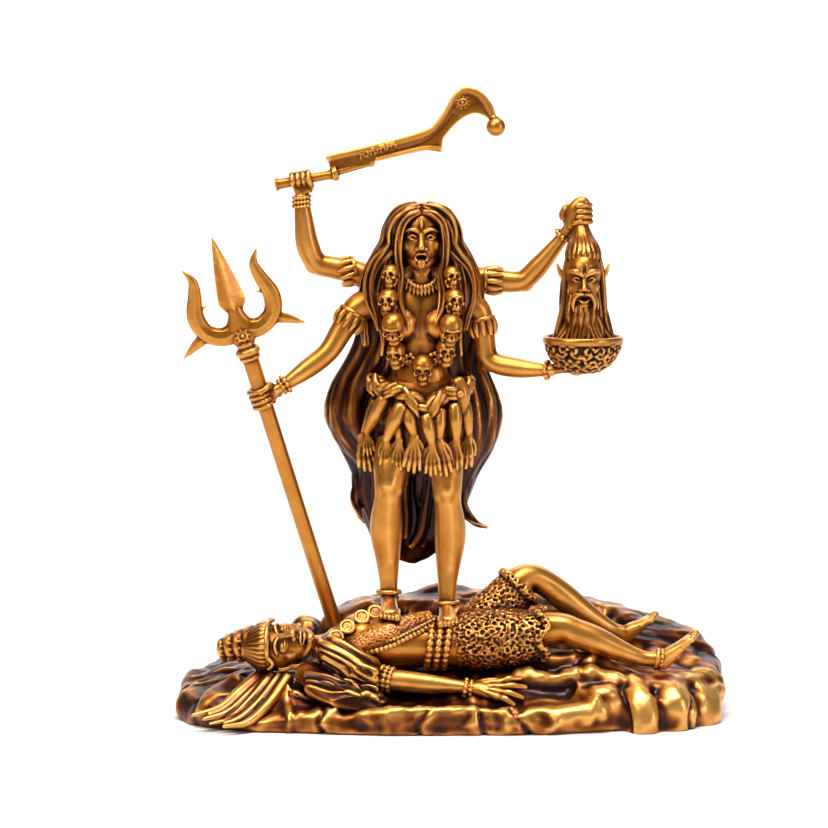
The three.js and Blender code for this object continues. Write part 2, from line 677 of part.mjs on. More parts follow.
// The holes that one casting leaves for the next
function bore(matrix, low, high, radius) {
  const bar = limb([[low, radius + fitGap], [high, radius + fitGap]], { around: 8, blunt: 0 });
  return solid(bar.applyMatrix4(matrix));
}
const shaftHole = bore(tridentMatrix, V(0, 0, -fitGap), V(0, 0, shaftLength), shaftRadius);
const gripHole = bore(swordMatrix, V(-0.88 * gripLength, 0, 0), V(-0.12 * gripLength, 0, 0), gripRadius);

// The soles are cut by the lying trunk, a gap above it.
const seat = solid(lyingTrunk().applyMatrix4(lying.matrix).translate(0, 0, fitGap));

const ground = casting([solid(rock()), ...lying.parts], [shaftHole]);
const goddess = casting(standing.parts, [shaftHole, gripHole, seat]);
const trident = meshOf('trident', tridentBody());
trident.applyMatrix4(tridentMatrix);
const sword = meshOf('sword', swordBody());
sword.applyMatrix4(swordMatrix);

const statue = new THREE.Group();
statue.add(meshOf('base', ground), meshOf('figure', goddess), trident, sword);

export default statue;
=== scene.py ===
# A gold-finished cast statue: a four-armed goddess stands on a god who lies on a rock.
import math
import bmesh
import bpy
import numpy as np
from mathutils import Euler, Matrix, Vector, noise


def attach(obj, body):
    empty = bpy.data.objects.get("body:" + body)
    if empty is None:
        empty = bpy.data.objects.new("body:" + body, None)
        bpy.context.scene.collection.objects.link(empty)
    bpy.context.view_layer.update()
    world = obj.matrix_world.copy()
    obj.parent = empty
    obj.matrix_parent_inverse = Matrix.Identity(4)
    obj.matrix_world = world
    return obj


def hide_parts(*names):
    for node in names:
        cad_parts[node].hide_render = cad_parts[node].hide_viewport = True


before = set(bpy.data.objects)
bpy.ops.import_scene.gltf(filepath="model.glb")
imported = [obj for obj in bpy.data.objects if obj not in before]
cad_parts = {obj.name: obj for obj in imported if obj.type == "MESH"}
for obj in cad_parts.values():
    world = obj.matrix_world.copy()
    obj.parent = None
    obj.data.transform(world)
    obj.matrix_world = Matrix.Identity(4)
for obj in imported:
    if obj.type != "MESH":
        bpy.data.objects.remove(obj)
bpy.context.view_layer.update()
scene = bpy.context.scene
noise.seed_set(4)  # without it noise.noise_vector differs from run to run
print("stage: frame loaded")

mm = 0.001
places = {
    "standing": (-11.5, -6, 36),  # between the soles, in mm of the frame
    "lying": (0, -12, 17),  # under the hips
    "rock": (0, 0, 0),
}

# the edge of the finest cube that each piece is remeshed with, in mm
voxels = {
    "body": 0.36, "handsAndToes": 0.2, "jewellery": 0.2, "heads": 0.2, "hair": 0.42, "frontLocks": 0.27,
    "garland": 0.2, "skirt": 0.26, "bowl": 0.24, "severedHair": 0.24, "lyingBody": 0.42,
    "lyingHandAndToes": 0.22, "lyingHead": 0.22, "lyingHair": 0.3, "ornaments": 0.26, "shawl": 0.34,
    "kilt": 0.3, "rock": 0.85, "trident": 0.24, "sword": 0.2,
}


# Shaping in millimetres. Each shape is added to a bmesh of clay, which is remeshed into one skin.
def unit(vectors):
    return vectors / np.linalg.norm(vectors, axis=-1, keepdims=True)


def smoothRun(values, shares):
    values = np.array(values, float)
    grown = np.vstack([2 * values[0] - values[1], values, 2 * values[-1] - values[-2]])
    t = np.asarray(shares) * (len(values) - 1)
    i = np.clip(t.astype(int), 0, len(values) - 2)
    f = (t - i)[:, None]
    a, b, c, d = (grown[i + k] for k in range(4))
    return 0.5 * (2 * b + (c - a) * f + (2 * a - 5 * b + 4 * c - d) * f**2 + (3 * b - a - 3 * c + d) * f**3)


def limb(clay, stations, around=14, across=(0, 1, 0), blunt=0.7, rows=5):
    # A station is (x, y, z, half width) or (x, y, z, half width, half depth), the depth along `across`.
    full = [s if len(s) == 5 else (*s, s[3]) for s in stations]
    run = smoothRun(full, np.linspace(0, 1, rows * (len(full) - 1) + 1))
    path, girth = run[:, :3], np.maximum(run[:, 3:], 0.08)
    along = unit(np.gradient(path, axis=0))
    turns = np.radians([90, 60, 30])
    cap = lambda i, way: [path[i] + way * along[i] * blunt * girth[i, 0] * math.sin(a) for a in turns]
    centres = np.vstack([cap(0, -1), path, cap(-1, 1)[::-1]])
    sizes = np.vstack([girth[0] * np.cos(turns)[:, None], girth, (girth[-1] * np.cos(turns)[:, None])[::-1]])
    ways = np.vstack([along[:1]] * 3 + [along] + [along[-1:]] * 3)
    deep = unit(np.array(across, float) - ways * (ways @ np.array(across, float))[:, None])
    wide = np.cross(deep, ways)
    last = len(centres) - 1
    for v in bmesh.ops.create_uvsphere(clay, u_segments=around, v_segments=last, radius=1)["verts"]:
        k = last - round(math.acos(max(-1, min(1, v.co.z))) / math.pi * last)
        flat = math.hypot(v.co.x, v.co.y) or 1
        v.co = centres[k] + wide[k] * sizes[k, 0] * v.co.x / flat + deep[k] * sizes[k, 1] * v.co.y / flat


def ball(clay, centre, size, around=16):
    sizes = size if isinstance(size, tuple) else (size, size, size)
    place = Matrix.Translation(centre) @ Matrix.Diagonal((*sizes, 1))
    bmesh.ops.create_uvsphere(clay, u_segments=around, v_segments=around * 3 // 4, radius=1, matrix=place)


def hoop(clay, centre, along, radius, thick, tall=1, squash=1):
    turn = Vector(along).to_track_quat("Z", "Y").to_matrix().to_4x4()
    place = Matrix.Translation(centre) @ turn @ Matrix.Diagonal((1, squash, 1, 1))
    side = Matrix.Translation((radius, 0, 0)) @ Matrix.Diagonal((thick, 1, thick * tall, 1))
    circle = bmesh.ops.create_circle(clay, segments=10, radius=1,
                                     matrix=side @ Matrix.Rotation(math.pi / 2, 4, "X"))
    rim = circle["verts"]
    edges = list({e for v in rim for e in v.link_edges})
    before = set(clay.verts)
    bmesh.ops.spin(clay, geom=rim + edges, cent=(0, 0, 0), axis=(0, 0, 1), angle=2 * math.pi, steps=30,
                   use_merge=True)
    new = [v for v in clay.verts if v not in before] + [v for v in rim if v.is_valid]
    bmesh.ops.transform(clay, matrix=place, verts=new)


def beads(clay, path, size, gap=1.8):
    path = smoothRun(path, np.linspace(0, 1, 60))
    lengths = np.r_[0, np.cumsum(np.linalg.norm(np.diff(path, axis=0), axis=1))]
    for s in np.linspace(0, lengths[-1], max(2, round(lengths[-1] / (gap * size)))):
        spot = [float(np.interp(s, lengths, path[:, k])) for k in range(3)]
        ball(clay, spot, size, around=8)


def beadRing(clay, centre, along, radius, size):
    turn = Vector(along).to_track_quat("Z", "Y").to_matrix()
    count = round(2 * math.pi * radius / (1.9 * size))
    for i in range(count):
        a = 2 * math.pi * i / count
        ball(clay, Vector(centre) + turn @ Vector((radius * math.cos(a), radius * math.sin(a), 0)), size,
             around=8)


def remeshed(clay, voxel, smoothing=3):
    mesh = bpy.data.meshes.new("clay")
    clay.to_mesh(mesh)
    clay.free()
    rough = bpy.data.objects.new("clay", mesh)
    scene.collection.objects.link(rough)
    grid = rough.modifiers.new("Remesh", "REMESH")
    grid.mode = "VOXEL"
    grid.voxel_size = voxel
    soft = rough.modifiers.new("Smooth", "SMOOTH")
    soft.factor = 0.5
    soft.iterations = smoothing
    skin = bpy.data.meshes.new_from_object(rough.evaluated_get(bpy.context.evaluated_depsgraph_get()))
    bpy.data.objects.remove(rough)
    bpy.data.meshes.remove(mesh)
    return Skin(skin)


class Skin:
    # The skin of a remeshed shape, moved along its normals as a modelling tool moves wax.
    def __init__(self, mesh):
        self.mesh = mesh
        self.points = np.empty(3 * len(mesh.vertices), np.float32)
        mesh.vertices.foreach_get("co", self.points)
        self.points = self.points.reshape(-1, 3).astype(float)
        self.patinaAndPaintedShade = np.zeros(len(self.points))  # extra brown: patina where it was left on, and painted shade where a piece darkens a part that lies in shadow
        self.aim()

    def aim(self):
        self.mesh.vertices.foreach_set("co", self.points.astype(np.float32).ravel())
        self.mesh.update()
        self.normals = np.empty(3 * len(self.mesh.vertices), np.float32)
        self.mesh.vertex_normals.foreach_get("vector", self.normals)
        self.normals = self.normals.reshape(-1, 3).astype(float)

    def move(self, height):
        self.points += self.normals * np.asarray(height)[:, None]

    def nearness(self, path, width, ignore=None, rows=24):
        # 1 on the path and 0 from `width` away, seen along the axis `ignore`
        keep = [k for k in range(3) if k != ignore]
        path = smoothRun(path, np.linspace(0, 1, rows))[:, keep]
        low, high = path.min(0) - width, path.max(0) + width
        spots = self.points[:, keep]
        inside = np.flatnonzero(((spots > low) & (spots < high)).all(1))
        spots = spots[inside]
        nearest = np.full(len(spots), 1e9)
        for a, b in zip(path, path[1:]):
            run = b - a
            share = np.clip((spots - a) @ run / max(run @ run, 1e-9), 0, 1)
            nearest = np.minimum(nearest, np.linalg.norm(spots - a - share[:, None] * run, axis=1))
        found = np.zeros(len(self.points))
        found[inside] = np.clip(1 - nearest / width, 0, 1)
        return found

    def line(self, path, width, height, ignore=None, where=None, power=1.5):
        rise = height * self.nearness(path, width, ignore) ** power
        self.move(rise if where is None else rise * where)

    def dent(self, centre, size, depth, tilt=None):
        sizes = np.array(size if isinstance(size, tuple) else (size, size, size), float)
        away = (self.points - np.array(centre)) if tilt is None else (self.points - np.array(centre)) @ tilt
        far = np.linalg.norm(away / sizes, axis=1)
        self.move(-depth * np.clip(1 - far**2, 0, 1) ** 1.5)


def smoothstep(value, low, high):
    t = np.clip((value - low) / (high - low), 0, 1)
    return t * t * (3 - 2 * t)


def neighbourMean(values, edges, count):
    ends = np.r_[edges[:, 0], edges[:, 1]]
    others = np.r_[edges[:, 1], edges[:, 0]]
    degree = np.maximum(np.bincount(ends, minlength=count), 1)
    return np.stack([np.bincount(ends, values[others, k], count) / degree for k in range(values.shape[1])], 1)


def thinned(piece, most):
    # Fewer triangles where the form is plain
    count = sum(len(face.vertices) - 2 for face in piece.data.polygons)
    if count > most:
        fewer = piece.modifiers.new("Decimate", "DECIMATE")
        fewer.ratio = most / count
        full = piece.data
        light = bpy.data.meshes.new_from_object(piece.evaluated_get(bpy.context.evaluated_depsgraph_get()))
        piece.modifiers.clear()
        piece.data = light
        bpy.data.meshes.remove(full)
        light.name = piece.name


# how much the height over the form counts in the patina, after this many rounds of averaging that form
patinaDepths = {2: 5, 8: 1.6, 24: 0.7}


def finished(name, skin, place, node, finish, relief=1, most=44000):
    # Into the frame, in metres, with the depth of each point below the form around it kept for the patina
    skin.aim()
    mesh, points = skin.mesh, skin.points
    edges = np.empty(2 * len(mesh.edges), np.int32)
    mesh.edges.foreach_get("vertices", edges)
    edges = edges.reshape(-1, 2)
    depth = np.zeros(len(points))
    blurred = points
    for i in range(1, max(patinaDepths) + 1):
        blurred = neighbourMean(blurred, edges, len(points))
        if i in patinaDepths:
            depth += relief * patinaDepths[i] * ((blurred - points) * skin.normals).sum(1)
    depth = neighbourMean(np.clip(0.5 + 0.5 * depth + skin.patinaAndPaintedShade, 0, 1)[:, None], edges, len(points))
    mesh.attributes.new("depth", "FLOAT", "POINT").data.foreach_set("value", depth.astype(np.float32).ravel())
    mesh.transform(Matrix.Translation(Vector(places[place]) * mm) @ Matrix.Scale(mm, 4))
    mesh.polygons.foreach_set("use_smooth", [True] * len(mesh.polygons))
    mesh.name = name
    piece = bpy.data.objects.new(name, mesh)
    scene.collection.objects.link(piece)
    mesh.materials.append(finish)
    thinned(piece, most)
    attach(piece, "root")
    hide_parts(node)
    print("stage:", name, sum(len(face.vertices) - 2 for face in piece.data.polygons), "triangles")
    return piece


def placed(clay, place, shape, *details):
    # A shape built at its own zero, then set in the clay
    part = bmesh.new()
    shape(part, *details)
    part.transform(place)
    held = bpy.data.meshes.new("part")
    part.to_mesh(held)
    part.free()
    clay.from_mesh(held)
    bpy.data.meshes.remove(held)


def reopened(skin):
    clay = bmesh.new()
    skin.aim()
    clay.from_mesh(skin.mesh)
    bpy.data.meshes.remove(skin.mesh)
    return clay


# Materials
def linear(hexColour):
    parts = [int(hexColour[i:i + 2], 16) / 255 for i in (1, 3, 5)]
    return (*[c / 12.92 if c <= 0.04045 else ((c + 0.055) / 1.055) ** 2.4 for c in parts], 1)


def addNode(tree, kind, settings={}, links={}):
    node = tree.nodes.new(kind)
    for key, value in settings.items():
        if isinstance(key, str) and hasattr(node, key):
            setattr(node, key, value)
        else:
            node.inputs[key].default_value = value
    for key, source in links.items():
        tree.links.new(source, node.inputs[key])
    return node


def goldPaint(name, look):
    # Cold-cast resin brushed with gold paint over a dark brown patina: the raised forms are rubbed bright and
    # satin, and the brown stays in the recesses, glossier where lacquer lies thick. The brown comes from the
    # depth attribute (patina in the hollows), plus ambient occlusion, which is patina in hollows and also
    # painted shade between parts and under them, plus a random drift.
    material = bpy.data.materials.new(name)
    material.use_nodes = True
    tree = material.node_tree
    tree.nodes.clear()
    place = addNode(tree, "ShaderNodeTexCoord").outputs["Object"]
    depth = addNode(tree, "ShaderNodeAttribute", {"attribute_name": "depth"}).outputs["Fac"]
    # ambient occlusion darkens the colour where other forms shelter a point: patina in hollows, and painted
    # shade between parts and under them
    shelter = addNode(tree, "ShaderNodeAmbientOcclusion", {"samples": 8, "Distance": look["shelter"] * mm})
    cloud = addNode(tree, "ShaderNodeTexNoise", {"Scale": 1 / (look["cloud"] * mm), "Detail": 4},
                    {"Vector": place})
    aoShadeAndPatina = addNode(tree, "ShaderNodeMath",
                     {"operation": "MULTIPLY_ADD", 1: -look["aoShadeAndPatinaAmount"], 2: look["aoShadeAndPatinaAmount"]},
                     {0: shelter.outputs["AO"]})
    drift = addNode(tree, "ShaderNodeMath",
                    {"operation": "MULTIPLY_ADD", 1: look["drift"], 2: -look["drift"] / 2},
                    {0: cloud.outputs["Fac"]})
    both = addNode(tree, "ShaderNodeMath", {"operation": "ADD"}, {0: depth, 1: aoShadeAndPatina.outputs[0]})
    brown = addNode(tree, "ShaderNodeMath", {"operation": "ADD"}, {0: both.outputs[0], 1: drift.outputs[0]})
    tint = addNode(tree, "ShaderNodeValToRGB", {}, {"Fac": brown.outputs[0]})
    stops = tint.color_ramp.elements
    for i, (spot, colour) in enumerate(look["colours"]):
        stop = stops[i] if i < 2 else stops.new(spot)
        stop.position, stop.color = spot, linear(colour)
    sheen = addNode(tree, "ShaderNodeMapRange", {"From Min": 0.4, "From Max": 0.9, "To Min": look["metal"],
                    "To Max": 0.75}, {"Value": brown.outputs[0]})
    rough = addNode(tree, "ShaderNodeMapRange", {"From Min": 0.3, "From Max": 0.7, "To Min": look["rough"],
                    "To Max": look["rough"] + 0.1}, {"Value": cloud.outputs["Fac"]})
    grain = addNode(tree, "ShaderNodeTexNoise", {"Scale": 1 / (0.9 * mm), "Detail": 3}, {"Vector": place})
    bump = addNode(tree, "ShaderNodeBump", {"Strength": look["grain"], "Distance": 0.1 * mm},
                   {"Height": grain.outputs["Fac"]})
    paint = addNode(tree, "ShaderNodeBsdfPrincipled",
                    {"Coat Weight": look["lacquer"], "Coat Roughness": 0.18},
                    {"Base Color": tint.outputs["Color"], "Metallic": sheen.outputs[0],
                     "Roughness": rough.outputs[0], "Normal": bump.outputs[0]})
    addNode(tree, "ShaderNodeOutputMaterial", {}, {"Surface": paint.outputs[0]})
    return material


# in each look, the ambient-occlusion amount sets how much painted shade and patina go into the colour
satinGold = goldPaint("antique gold paint, satin", {
    "colours": [(0.26, "#efb055"), (0.46, "#bd761f"), (0.62, "#74390b"), (0.84, "#280d02")],
    "shelter": 4, "aoShadeAndPatinaAmount": 0.34, "cloud": 9, "drift": 0.14,
    "metal": 0.9, "rough": 0.33, "grain": 0.08, "lacquer": 0.3,
})
lockGold = goldPaint("antique gold paint, deep brown in the grooves", {
    "colours": [(0.24, "#ebac55"), (0.42, "#b36c1e"), (0.56, "#672f0a"), (0.78, "#240c02")],
    "shelter": 5, "aoShadeAndPatinaAmount": 0.42, "cloud": 9, "drift": 0.2,
    "metal": 0.85, "rough": 0.28, "grain": 0.06, "lacquer": 0.16,
})
glossyBrown = goldPaint("antique gold paint, brown and lacquered", {
    "colours": [(0.2, "#dc9c4b"), (0.38, "#8f5016"), (0.52, "#562306"), (0.74, "#200a02")],
    "shelter": 8, "aoShadeAndPatinaAmount": 0.5, "cloud": 12, "drift": 0.22,
    "metal": 0.85, "rough": 0.26, "grain": 0.06, "lacquer": 0.2,
})
rockPaint = goldPaint("antique gold paint, patchy brown, lacquered", {
    "colours": [(0.2, "#e8ab56"), (0.4, "#b06a22"), (0.6, "#6f340c"), (0.84, "#280e02")],
    "shelter": 9, "aoShadeAndPatinaAmount": 0.46, "cloud": 20, "drift": 0.42,
    "metal": 0.8, "rough": 0.29, "grain": 0.07, "lacquer": 0.16,
})


# Heads are laid out in mm for a head of 20 mm, with zero between the eyes' level and the ears, facing -Y.
headLook = {
    "skull": ((0, 0.6, 2.5), (6.3, 7.6, 7.8)),
    "mask": ((0, -1.6, -1.4), (5.4, 5.4, 7.2)),
    "chin": ((0, -5.3, -8.2), (1.7, 1.6, 1.5)),
    "cheek": ((3.0, -3.4, -2.0), (2.5, 2.1, 2.6)),
    "jaw": [(-4.3, 0.8, -3, 1.4), (-2.7, -3, -6.9, 1.3), (0, -5, -8.4, 1.4), (2.7, -3, -6.9, 1.3),
            (4.3, 0.8, -3, 1.4)],
    "nose": [(0, -6.5, 1.6, 0.8), (0, -7.4, -0.8, 0.9), (0, -8.4, -2.8, 1.1)],
    "wing": ((1.2, -7.3, -3.1), (0.85, 1, 0.75)),
    "brow": [(0.9, -6.9, 2.2, 0.5), (2.9, -6.7, 3, 0.6), (4.9, -4.9, 2.2, 0.4)],
    "socket": ((2.6, -6.6, 0.7), (1.9, 2.4, 1.4), 1.1),
    "eye": ((2.6, -5.0, 0.5), (1.4, 1.35, 1.1)),
    "upperLid": [(1.2, -6.1, 0.3, 0.25), (2.5, -6.7, 1.15, 0.34), (4.0, -5.5, 0.5, 0.25)],
    "lowerLid": [(1.2, -6.1, 0.3, 0.2), (2.6, -6.4, -0.25, 0.24), (4.0, -5.5, 0.4, 0.2)],
}


def headBlock(clay, look):
    ball(clay, *look["skull"], around=28)
    ball(clay, *look["mask"], around=28)
    ball(clay, *look["chin"])
    limb(clay, look["jaw"], around=12)
    limb(clay, look["nose"], around=10)
    for way in (-1, 1):
        flip = lambda run: [(way * s[0], *s[1:]) for s in run]
        ball(clay, flip([look["cheek"][0]])[0], look["cheek"][1])
        ball(clay, flip([look["wing"][0]])[0], look["wing"][1])
        limb(clay, flip(look["brow"]), around=8)


def faceParts(clay, look):
    for way in (-1, 1):
        flip = lambda run: [(way * s[0], *s[1:]) for s in run]
        ball(clay, flip([look["eye"][0]])[0], look["eye"][1])
        limb(clay, flip(look["upperLid"]), around=8)
        limb(clay, flip(look["lowerLid"]), around=8)
    for run in look["lips"]:
        limb(clay, run, around=10, across=(0, 1, 0.3))
    for run in look.get("extras", []):
        limb(clay, run, around=10)


def head(place, look, voxel):
    # Block out, press the sockets and the mouth in, add the features, then draw the fine lines
    size = place.to_scale()[0]
    clay = bmesh.new()
    placed(clay, place, headBlock, look)
    skin = remeshed(clay, voxel * 1.2, 9)
    tilt = np.array(place.to_3x3().normalized())
    dent = lambda centre, sizes, depth: skin.dent(
        place @ Vector(centre), tuple(size * s for s in sizes), size * depth, tilt)
    for way in (-1, 1):
        (x, y, z), sizes, depth = look["socket"]
        dent((way * x, y, z), sizes, depth)
    for spot in look.get("dents", []):
        dent(*spot)
    clay = reopened(skin)
    placed(clay, place, faceParts, look)
    skin = remeshed(clay, voxel, 2)
    for x, y, z, wide, depth in look.get("pupils", []):
        for way in (-1, 1):
            skin.dent(place @ Vector((way * x, y, z)), size * wide, size * depth)
    for run, width, height in look["lines"]:
        for way in (-1, 1):
            path = [tuple(place @ Vector((way * x, y, z))) for x, y, z in run]
            skin.line(path, size * width, size * height)
    return skin


# Hands
def fist(clay, centre, bar, wrist, palm, grip, finger):
    # Four fingers round a bar, with the thumb across the near end. The wrist and the palm are directions.
    bar, centre, wrist = Vector(bar).normalized(), Vector(centre), Vector(wrist)
    palm = Vector(palm) - bar * Vector(palm).dot(bar)
    palm.normalize()
    over = bar.cross(palm)
    over *= -1 if over.dot(wrist) > 0 else 1

    def spot(angle, along, reach):
        a = math.radians(angle)
        return centre + bar * along + (palm * math.cos(a) + over * math.sin(a)) * reach

    for i in range(4):
        along = (i - 1.5) * 1.95 * finger
        reach = grip + finger * 0.75
        limb(clay, [(*spot(a, along, reach * far), finger * thick) for a, thick, far in (
            (-25, 1.1, 1.0), (25, 1.15, 1.12), (80, 1.05, 1.12), (130, 1.0, 1.0), (185, 0.95, 1.06),
            (225, 0.8, 0.95))],
            around=10, across=bar)
    reach = grip + finger * 0.9
    back = wrist - bar * wrist.dot(bar)
    back.normalize()
    limb(clay, [(*(centre + wrist), 2.2 * finger, 1.9 * finger),
                (*(centre + wrist * 0.5 + back * reach * 0.5), 3.1 * finger, 2 * finger),
                (*(centre + back * (reach + 0.5 * finger)), 3.9 * finger, 1.8 * finger),
                (*(centre + back * reach * 0.4), 3.5 * finger, 1.5 * finger)],
         around=16, across=palm, blunt=0.3)
    limb(clay, [(*spot(-30, 0, reach), 3.6 * finger, 1.5 * finger),
                (*spot(-60, 0, reach * 1.25), 3 * finger, 2 * finger), (*(centre + wrist), 2.3 * finger)],
         around=16, across=palm, blunt=0.3)
    limb(clay, [(*spot(a, along * finger, reach * far), finger * thick) for a, along, thick, far in (
        (-55, 2.6, 1.5, 1.0), (-95, 3.3, 1.25, 1.12), (-140, 3.1, 1.1, 1.05), (-180, 2.5, 0.9, 1.1))],
         around=10, across=bar)


def openHand(clay, wrist, way, side, size, back=None, spread=0.1, curl=0.0, wristSize=0.16):
    # A flat hand: palm, four fingers side by side and a thumb on the side that `side` points away from.
    # The back of the hand, with its tendons, is towards `back`.
    wrist, way = Vector(wrist), Vector(way).normalized()
    side = Vector(side) - way * Vector(side).dot(way)
    side.normalize()
    out = way.cross(side)
    if back is not None and out.dot(Vector(back)) < 0:
        out = -out
    at = lambda ahead, aside, up=0.0: wrist + way * ahead * size + side * aside * size + out * up * size
    limb(clay, [(*wrist, wristSize * size, wristSize * 0.8 * size), (*at(0.14, 0), 0.14 * size, 0.1 * size),
                (*at(0.3, 0), 0.185 * size, 0.085 * size), (*at(0.43, 0), 0.185 * size, 0.06 * size),
                (*at(0.52, 0), 0.16 * size, 0.035 * size)],
         around=16, across=out, blunt=0.4)
    for i, reach in enumerate((0.38, 0.46, 0.43, 0.33)):
        aside = (i - 1.5) * 0.108
        aim = (way + side * (i - 1.5) * spread).normalized()
        knuckle = at(0.46, aside, 0.025)
        middle = knuckle + aim * 0.45 * reach * size + out * curl * 0.07 * size
        tip = knuckle + aim * reach * size - out * curl * 0.02 * size
        limb(clay, [(*at(0.14, aside * 0.4, 0.066), 0.022 * size),
                    (*at(0.3, aside * 0.75, 0.055), 0.034 * size), (*knuckle, 0.068 * size),
                    (*knuckle.lerp(middle, 0.5), 0.057 * size), (*middle, 0.06 * size),
                    (*middle.lerp(tip, 0.6), 0.052 * size), (*tip, 0.042 * size)], around=9)
    limb(clay, [(*at(0.08, -0.08), 0.07 * size), (*at(0.22, -0.18, -0.02), 0.07 * size),
                (*at(0.36, -0.235, -0.02), 0.055 * size), (*at(0.52, -0.25, -0.01), 0.04 * size)], around=9)


def cuff(clay, centre, along, radius, leaves, length, thick):
    # A cuff of long leaves side by side, held by a thin ring
    along = Vector(along).normalized()
    turn = along.to_track_quat("Z", "Y").to_matrix()
    for i in range(leaves):
        a = 2 * math.pi * i / leaves
        out = turn @ Vector((math.cos(a), math.sin(a), 0))
        mid = Vector(centre) + out * radius
        limb(clay, [(*(mid - along * length * 0.5), thick * 0.5),
                    (*(mid - along * length * 0.1 + out * 0.3), thick),
                    (*(mid + along * length * 0.3), thick * 0.9),
                    (*(mid + along * length * 0.5), thick * 0.3)],
             around=8, across=out)
    hoop(clay, Vector(centre) + along * length * 0.42, along, radius, thick * 0.8)


# The standing figure, in mm from between her soles
standing = {
    "torso": [(0.8, 5.5, 54, 14, 9.4), (0.8, 5.5, 60, 14.8, 9.8), (0.8, 5.5, 68, 14.6, 9.6),
              (0.7, 5.5, 78, 11.6, 7.8), (0.4, 5, 87, 9.6, 6.6), (0.4, 5, 97, 11, 6.8),
              (0.6, 5, 107, 13.6, 7), (0.8, 6, 113.5, 11.6, 5.6), (1, 6, 118, 4.8, 4.4),
              (1.1, 4.5, 125, 3.9, 4.2)],
    "rightLeg": [(-8.2, 3.4, 60, 6.8), (-9.6, -0.6, 52, 6.3), (-10.3, -2.8, 46, 5.0, 5.2),
                 (-10.7, -2.2, 41, 4.5, 4.8), (-11.2, 0.6, 34, 5.5, 5.6), (-11.3, 2, 28, 5.6, 5.7),
                 (-10.8, 2.2, 19, 3.9, 4.3), (-10.5, 2, 10.5, 2.8, 3.2), (-10.35, 1.9, 5, 2.8, 3.1)],
    "leftLeg": [(9, 4, 60, 6.8), (9.6, 2, 50, 6.0), (9.9, 0.8, 43.5, 5.0, 5.2), (10.2, 1.6, 38.5, 4.6, 4.8),
                (10.9, 3.8, 31, 5.4, 5.6), (11, 4.4, 25, 5.3, 5.5), (10.4, 3.8, 16, 3.8, 4.2),
                (9.95, 2.6, 7.5, 2.8, 3.1), (9.95, 2.2, 2, 2.8, 3.0)],
    "swordArm": [(-12, 9.4, 113, 4.8), (-21, 10, 118.6, 4.4), (-29, 10, 120.6, 4), (-35.6, 9.8, 122.4, 3.9),
                 (-38.8, 8.6, 129, 4.1), (-40, 7.2, 138, 3.3), (-41, 6.6, 146.5, 2.4)],
    "scalpArm": [(13, 9.4, 112.5, 4.8), (21.5, 10, 116.8, 4.2), (29, 10, 116, 4), (36.4, 9.8, 116.2, 3.7),
                 (42, 8.6, 121.4, 3.6), (49, 6.4, 130, 2.5), (53, 5.2, 135.6, 2.2)],
    "tridentArm": [(-13.6, 5, 109.4, 5.6), (-20.8, 4.4, 107.2, 5.1), (-26.4, 3.4, 99.8, 4.2),
                   (-31.4, 1.6, 92, 3.7), (-39, -0.6, 86, 3.5), (-47, -2.2, 80.4, 2.2),
                   (-50.4, -2.5, 78.4, 2.1)],
    "bowlArm": [(15.4, 5, 109, 5.6), (20.8, 5, 105.6, 4.7), (22.8, 4.6, 97, 3.9), (25, 4, 88.8, 3.6),
                (34, 0.8, 86.4, 3.6), (43.6, -3.6, 86, 2.3), (47, -4.6, 86.2, 2.3)],
}
grips = {
    "sword": {"centre": (-40.9, 6, 151.4), "bar": (20.8, 0, 3.8), "wrist": (0.2, 0.6, -5.2),
              "palm": (0, 1, 0), "grip": 1.5, "finger": 0.98},
    "scalp": {"centre": (56.2, 4, 139.8), "bar": (0.05, 0, -1), "wrist": (-3.6, 0.8, -3.6), "palm": (0, 1, 0),
              "grip": 2.4, "finger": 1.0},
    "trident": {"centre": (-54.2, -3, 76.6), "bar": (-0.36, -0.16, 1), "wrist": (4.6, 0.6, 1.6),
                "palm": (0, 1, 0), "grip": 2.7, "finger": 0.98},
}
# each foot: its leg, the ankle and the ball of the foot
soles = [("rightLeg", (-10.35, 1.8, 4.2), (-10, -13, 1.2)), ("leftLeg", (9.95, 2, 1.4), (10.2, -13, -1.2))]


def toes(clay, pad, out, across, sole, sizes=(1.45, 1.1, 1.05, 1, 0.9), reaches=(1, 0.7, 0.3, -0.5, -1.4)):
    # Five toes side by side from the ball of a foot, each with a rounder tip
    pad, out, across, sole = Vector(pad), Vector(out), Vector(across), Vector(sole)
    for i, (size, reach) in enumerate(zip(sizes, reaches)):
        root = pad + across * (2.6 - 1.38 * i)
        limb(clay, [(*(root - out * 2), size * 0.9), (*(root + out * (1.6 + reach)), size * 0.82),
                    (*(root + out * (3.4 + reach) + sole * 0.4), size),
                    (*(root + out * (4 + reach) + sole * 0.7), size * 0.8)],
             around=10)


